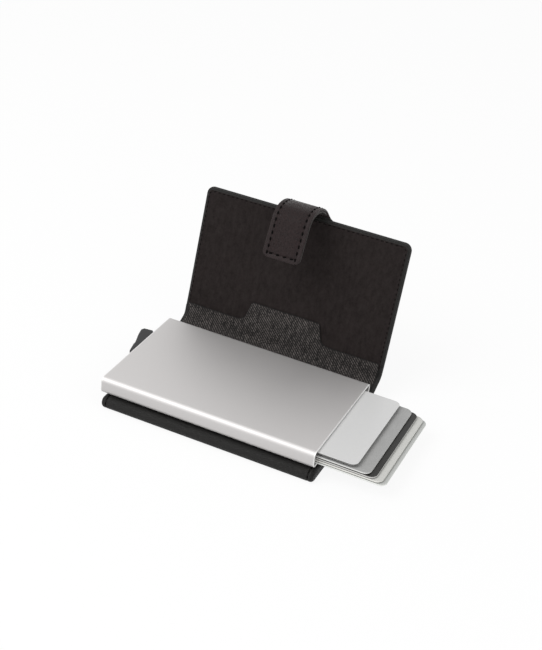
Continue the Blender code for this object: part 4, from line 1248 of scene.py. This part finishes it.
def makeCard(number, sizes):
    low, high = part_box(f"card_{number}")

    def lay(a, b, height):
        return Vector((a, b, height))

    outline = roundBox((low.x, low.y), (high.x, high.y), sizes["corner"], 12)
    card = panel(f"plastic_card_{number}", outline, low.z, high.z, sizes["rim"], lay, cardPrints[number - 1])
    # the second UV value runs from 0 at the back to 1 at the face, for the layers at the edge
    layer = card.data.uv_layers["sheet"]
    for loop in card.data.loops:
        point = card.data.vertices[loop.vertex_index].co
        layer.data[loop.index].uv = (point.x, (point.z - low.z) / (high.z - low.z))
    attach(card, f"card_{number}")
    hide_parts(f"card_{number}")


for cardNumber in range(1, 6):
    makeCard(cardNumber, cardSizes)
print("cards made")

# CAD nodes that keep their shape
keptNodes = {"end_cap": capPlastic, "lever_pin": pinSteel, "card_grip_front": gripFelt,
             "card_grip_rear": gripFelt, "case_pad": padFoam, "base_board": rawBoard,
             "base_magnet": nickelPlate, "cover_board": rawBoard, "strap_magnet": nickelPlate,
             "ejector_lever": leverPlastic}
for nodeName, material in keptNodes.items():
    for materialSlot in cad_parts[nodeName].material_slots:
        materialSlot.material = material
print("kept nodes painted")

# floor, world and lamps; the lamps have a place, an aim, a width and a power in watts
stageLook = {"floor": (0.9, 0.9, 0.9), "floorHalf": 6.0, "shade": 0.1, "world": 0.63,
             "lamps": {"key": ((-0.42, -0.58, 0.84), (0, 0, 0.01), 0.7, 6.5),
                       "fill": ((0.85, -0.25, 0.6), (0, 0, 0.02), 0.8, 1.9)}}


def seenShare(tree):
    # 1 for what the camera sees, also in a mirror or through glass
    rays = put(tree, "ShaderNodeLightPath").outputs
    return calc(tree, "MAXIMUM", rays["Is Camera Ray"],
                calc(tree, "MAXIMUM", rays["Is Glossy Ray"], rays["Is Transmission Ray"]))


def makeFloor(look):
    half = look["floorHalf"]
    mesh = bpy.data.meshes.new("floor")
    corners = [(-half, -half, 0), (half, -half, 0), (half, half, 0), (-half, half, 0)]
    mesh.from_pydata(corners, [], [(0, 1, 2, 3)])
    floor = bpy.data.objects.new("floor", mesh)
    scene.collection.objects.link(floor)
    material, tree, shader = startMaterial("floorPaper", Roughness=0.9, Specular_IOR_Level=0.1)
    shader.inputs["Base Color"].default_value = (*look["floor"], 1)
    white = put(tree, "ShaderNodeEmission", {"Color": (1, 1, 1), "Strength": 1.0})
    share = calc(tree, "MULTIPLY", seenShare(tree), 1.0 - look["shade"])
    blended = put(tree, "ShaderNodeMixShader", {0: share, 1: shader.outputs[0], 2: white.outputs[0]})
    tree.links.new(blended.outputs[0], tree.nodes["Material Output"].inputs["Surface"])
    mesh.materials.append(material)


def makeWorld(look):
    world = bpy.data.worlds.new("studio")
    scene.world = world
    world.use_nodes = True
    tree = world.node_tree
    background = tree.nodes["Background"]
    background.inputs["Color"].default_value = (1, 1, 1, 1)
    background.inputs["Strength"].default_value = look["world"]
    white = put(tree, "ShaderNodeBackground", {"Color": (1, 1, 1), "Strength": 1.0})
    blended = put(tree, "ShaderNodeMixShader",
                  {0: seenShare(tree), 1: background.outputs[0], 2: white.outputs[0]})
    tree.links.new(blended.outputs[0], tree.nodes["World Output"].inputs["Surface"])


def makeLamps(look):
    for name, (place, aim, width, power) in look["lamps"].items():
        data = bpy.data.lights.new(name, "AREA")
        data.energy = power
        data.size = width
        lamp = bpy.data.objects.new(name, data)
        lamp.location = place
        lamp.rotation_euler = (Vector(place) - Vector(aim)).to_track_quat("Z", "Y").to_euler()
        scene.collection.objects.link(lamp)


makeFloor(stageLook)
makeWorld(stageLook)
makeLamps(stageLook)
print("stage made")
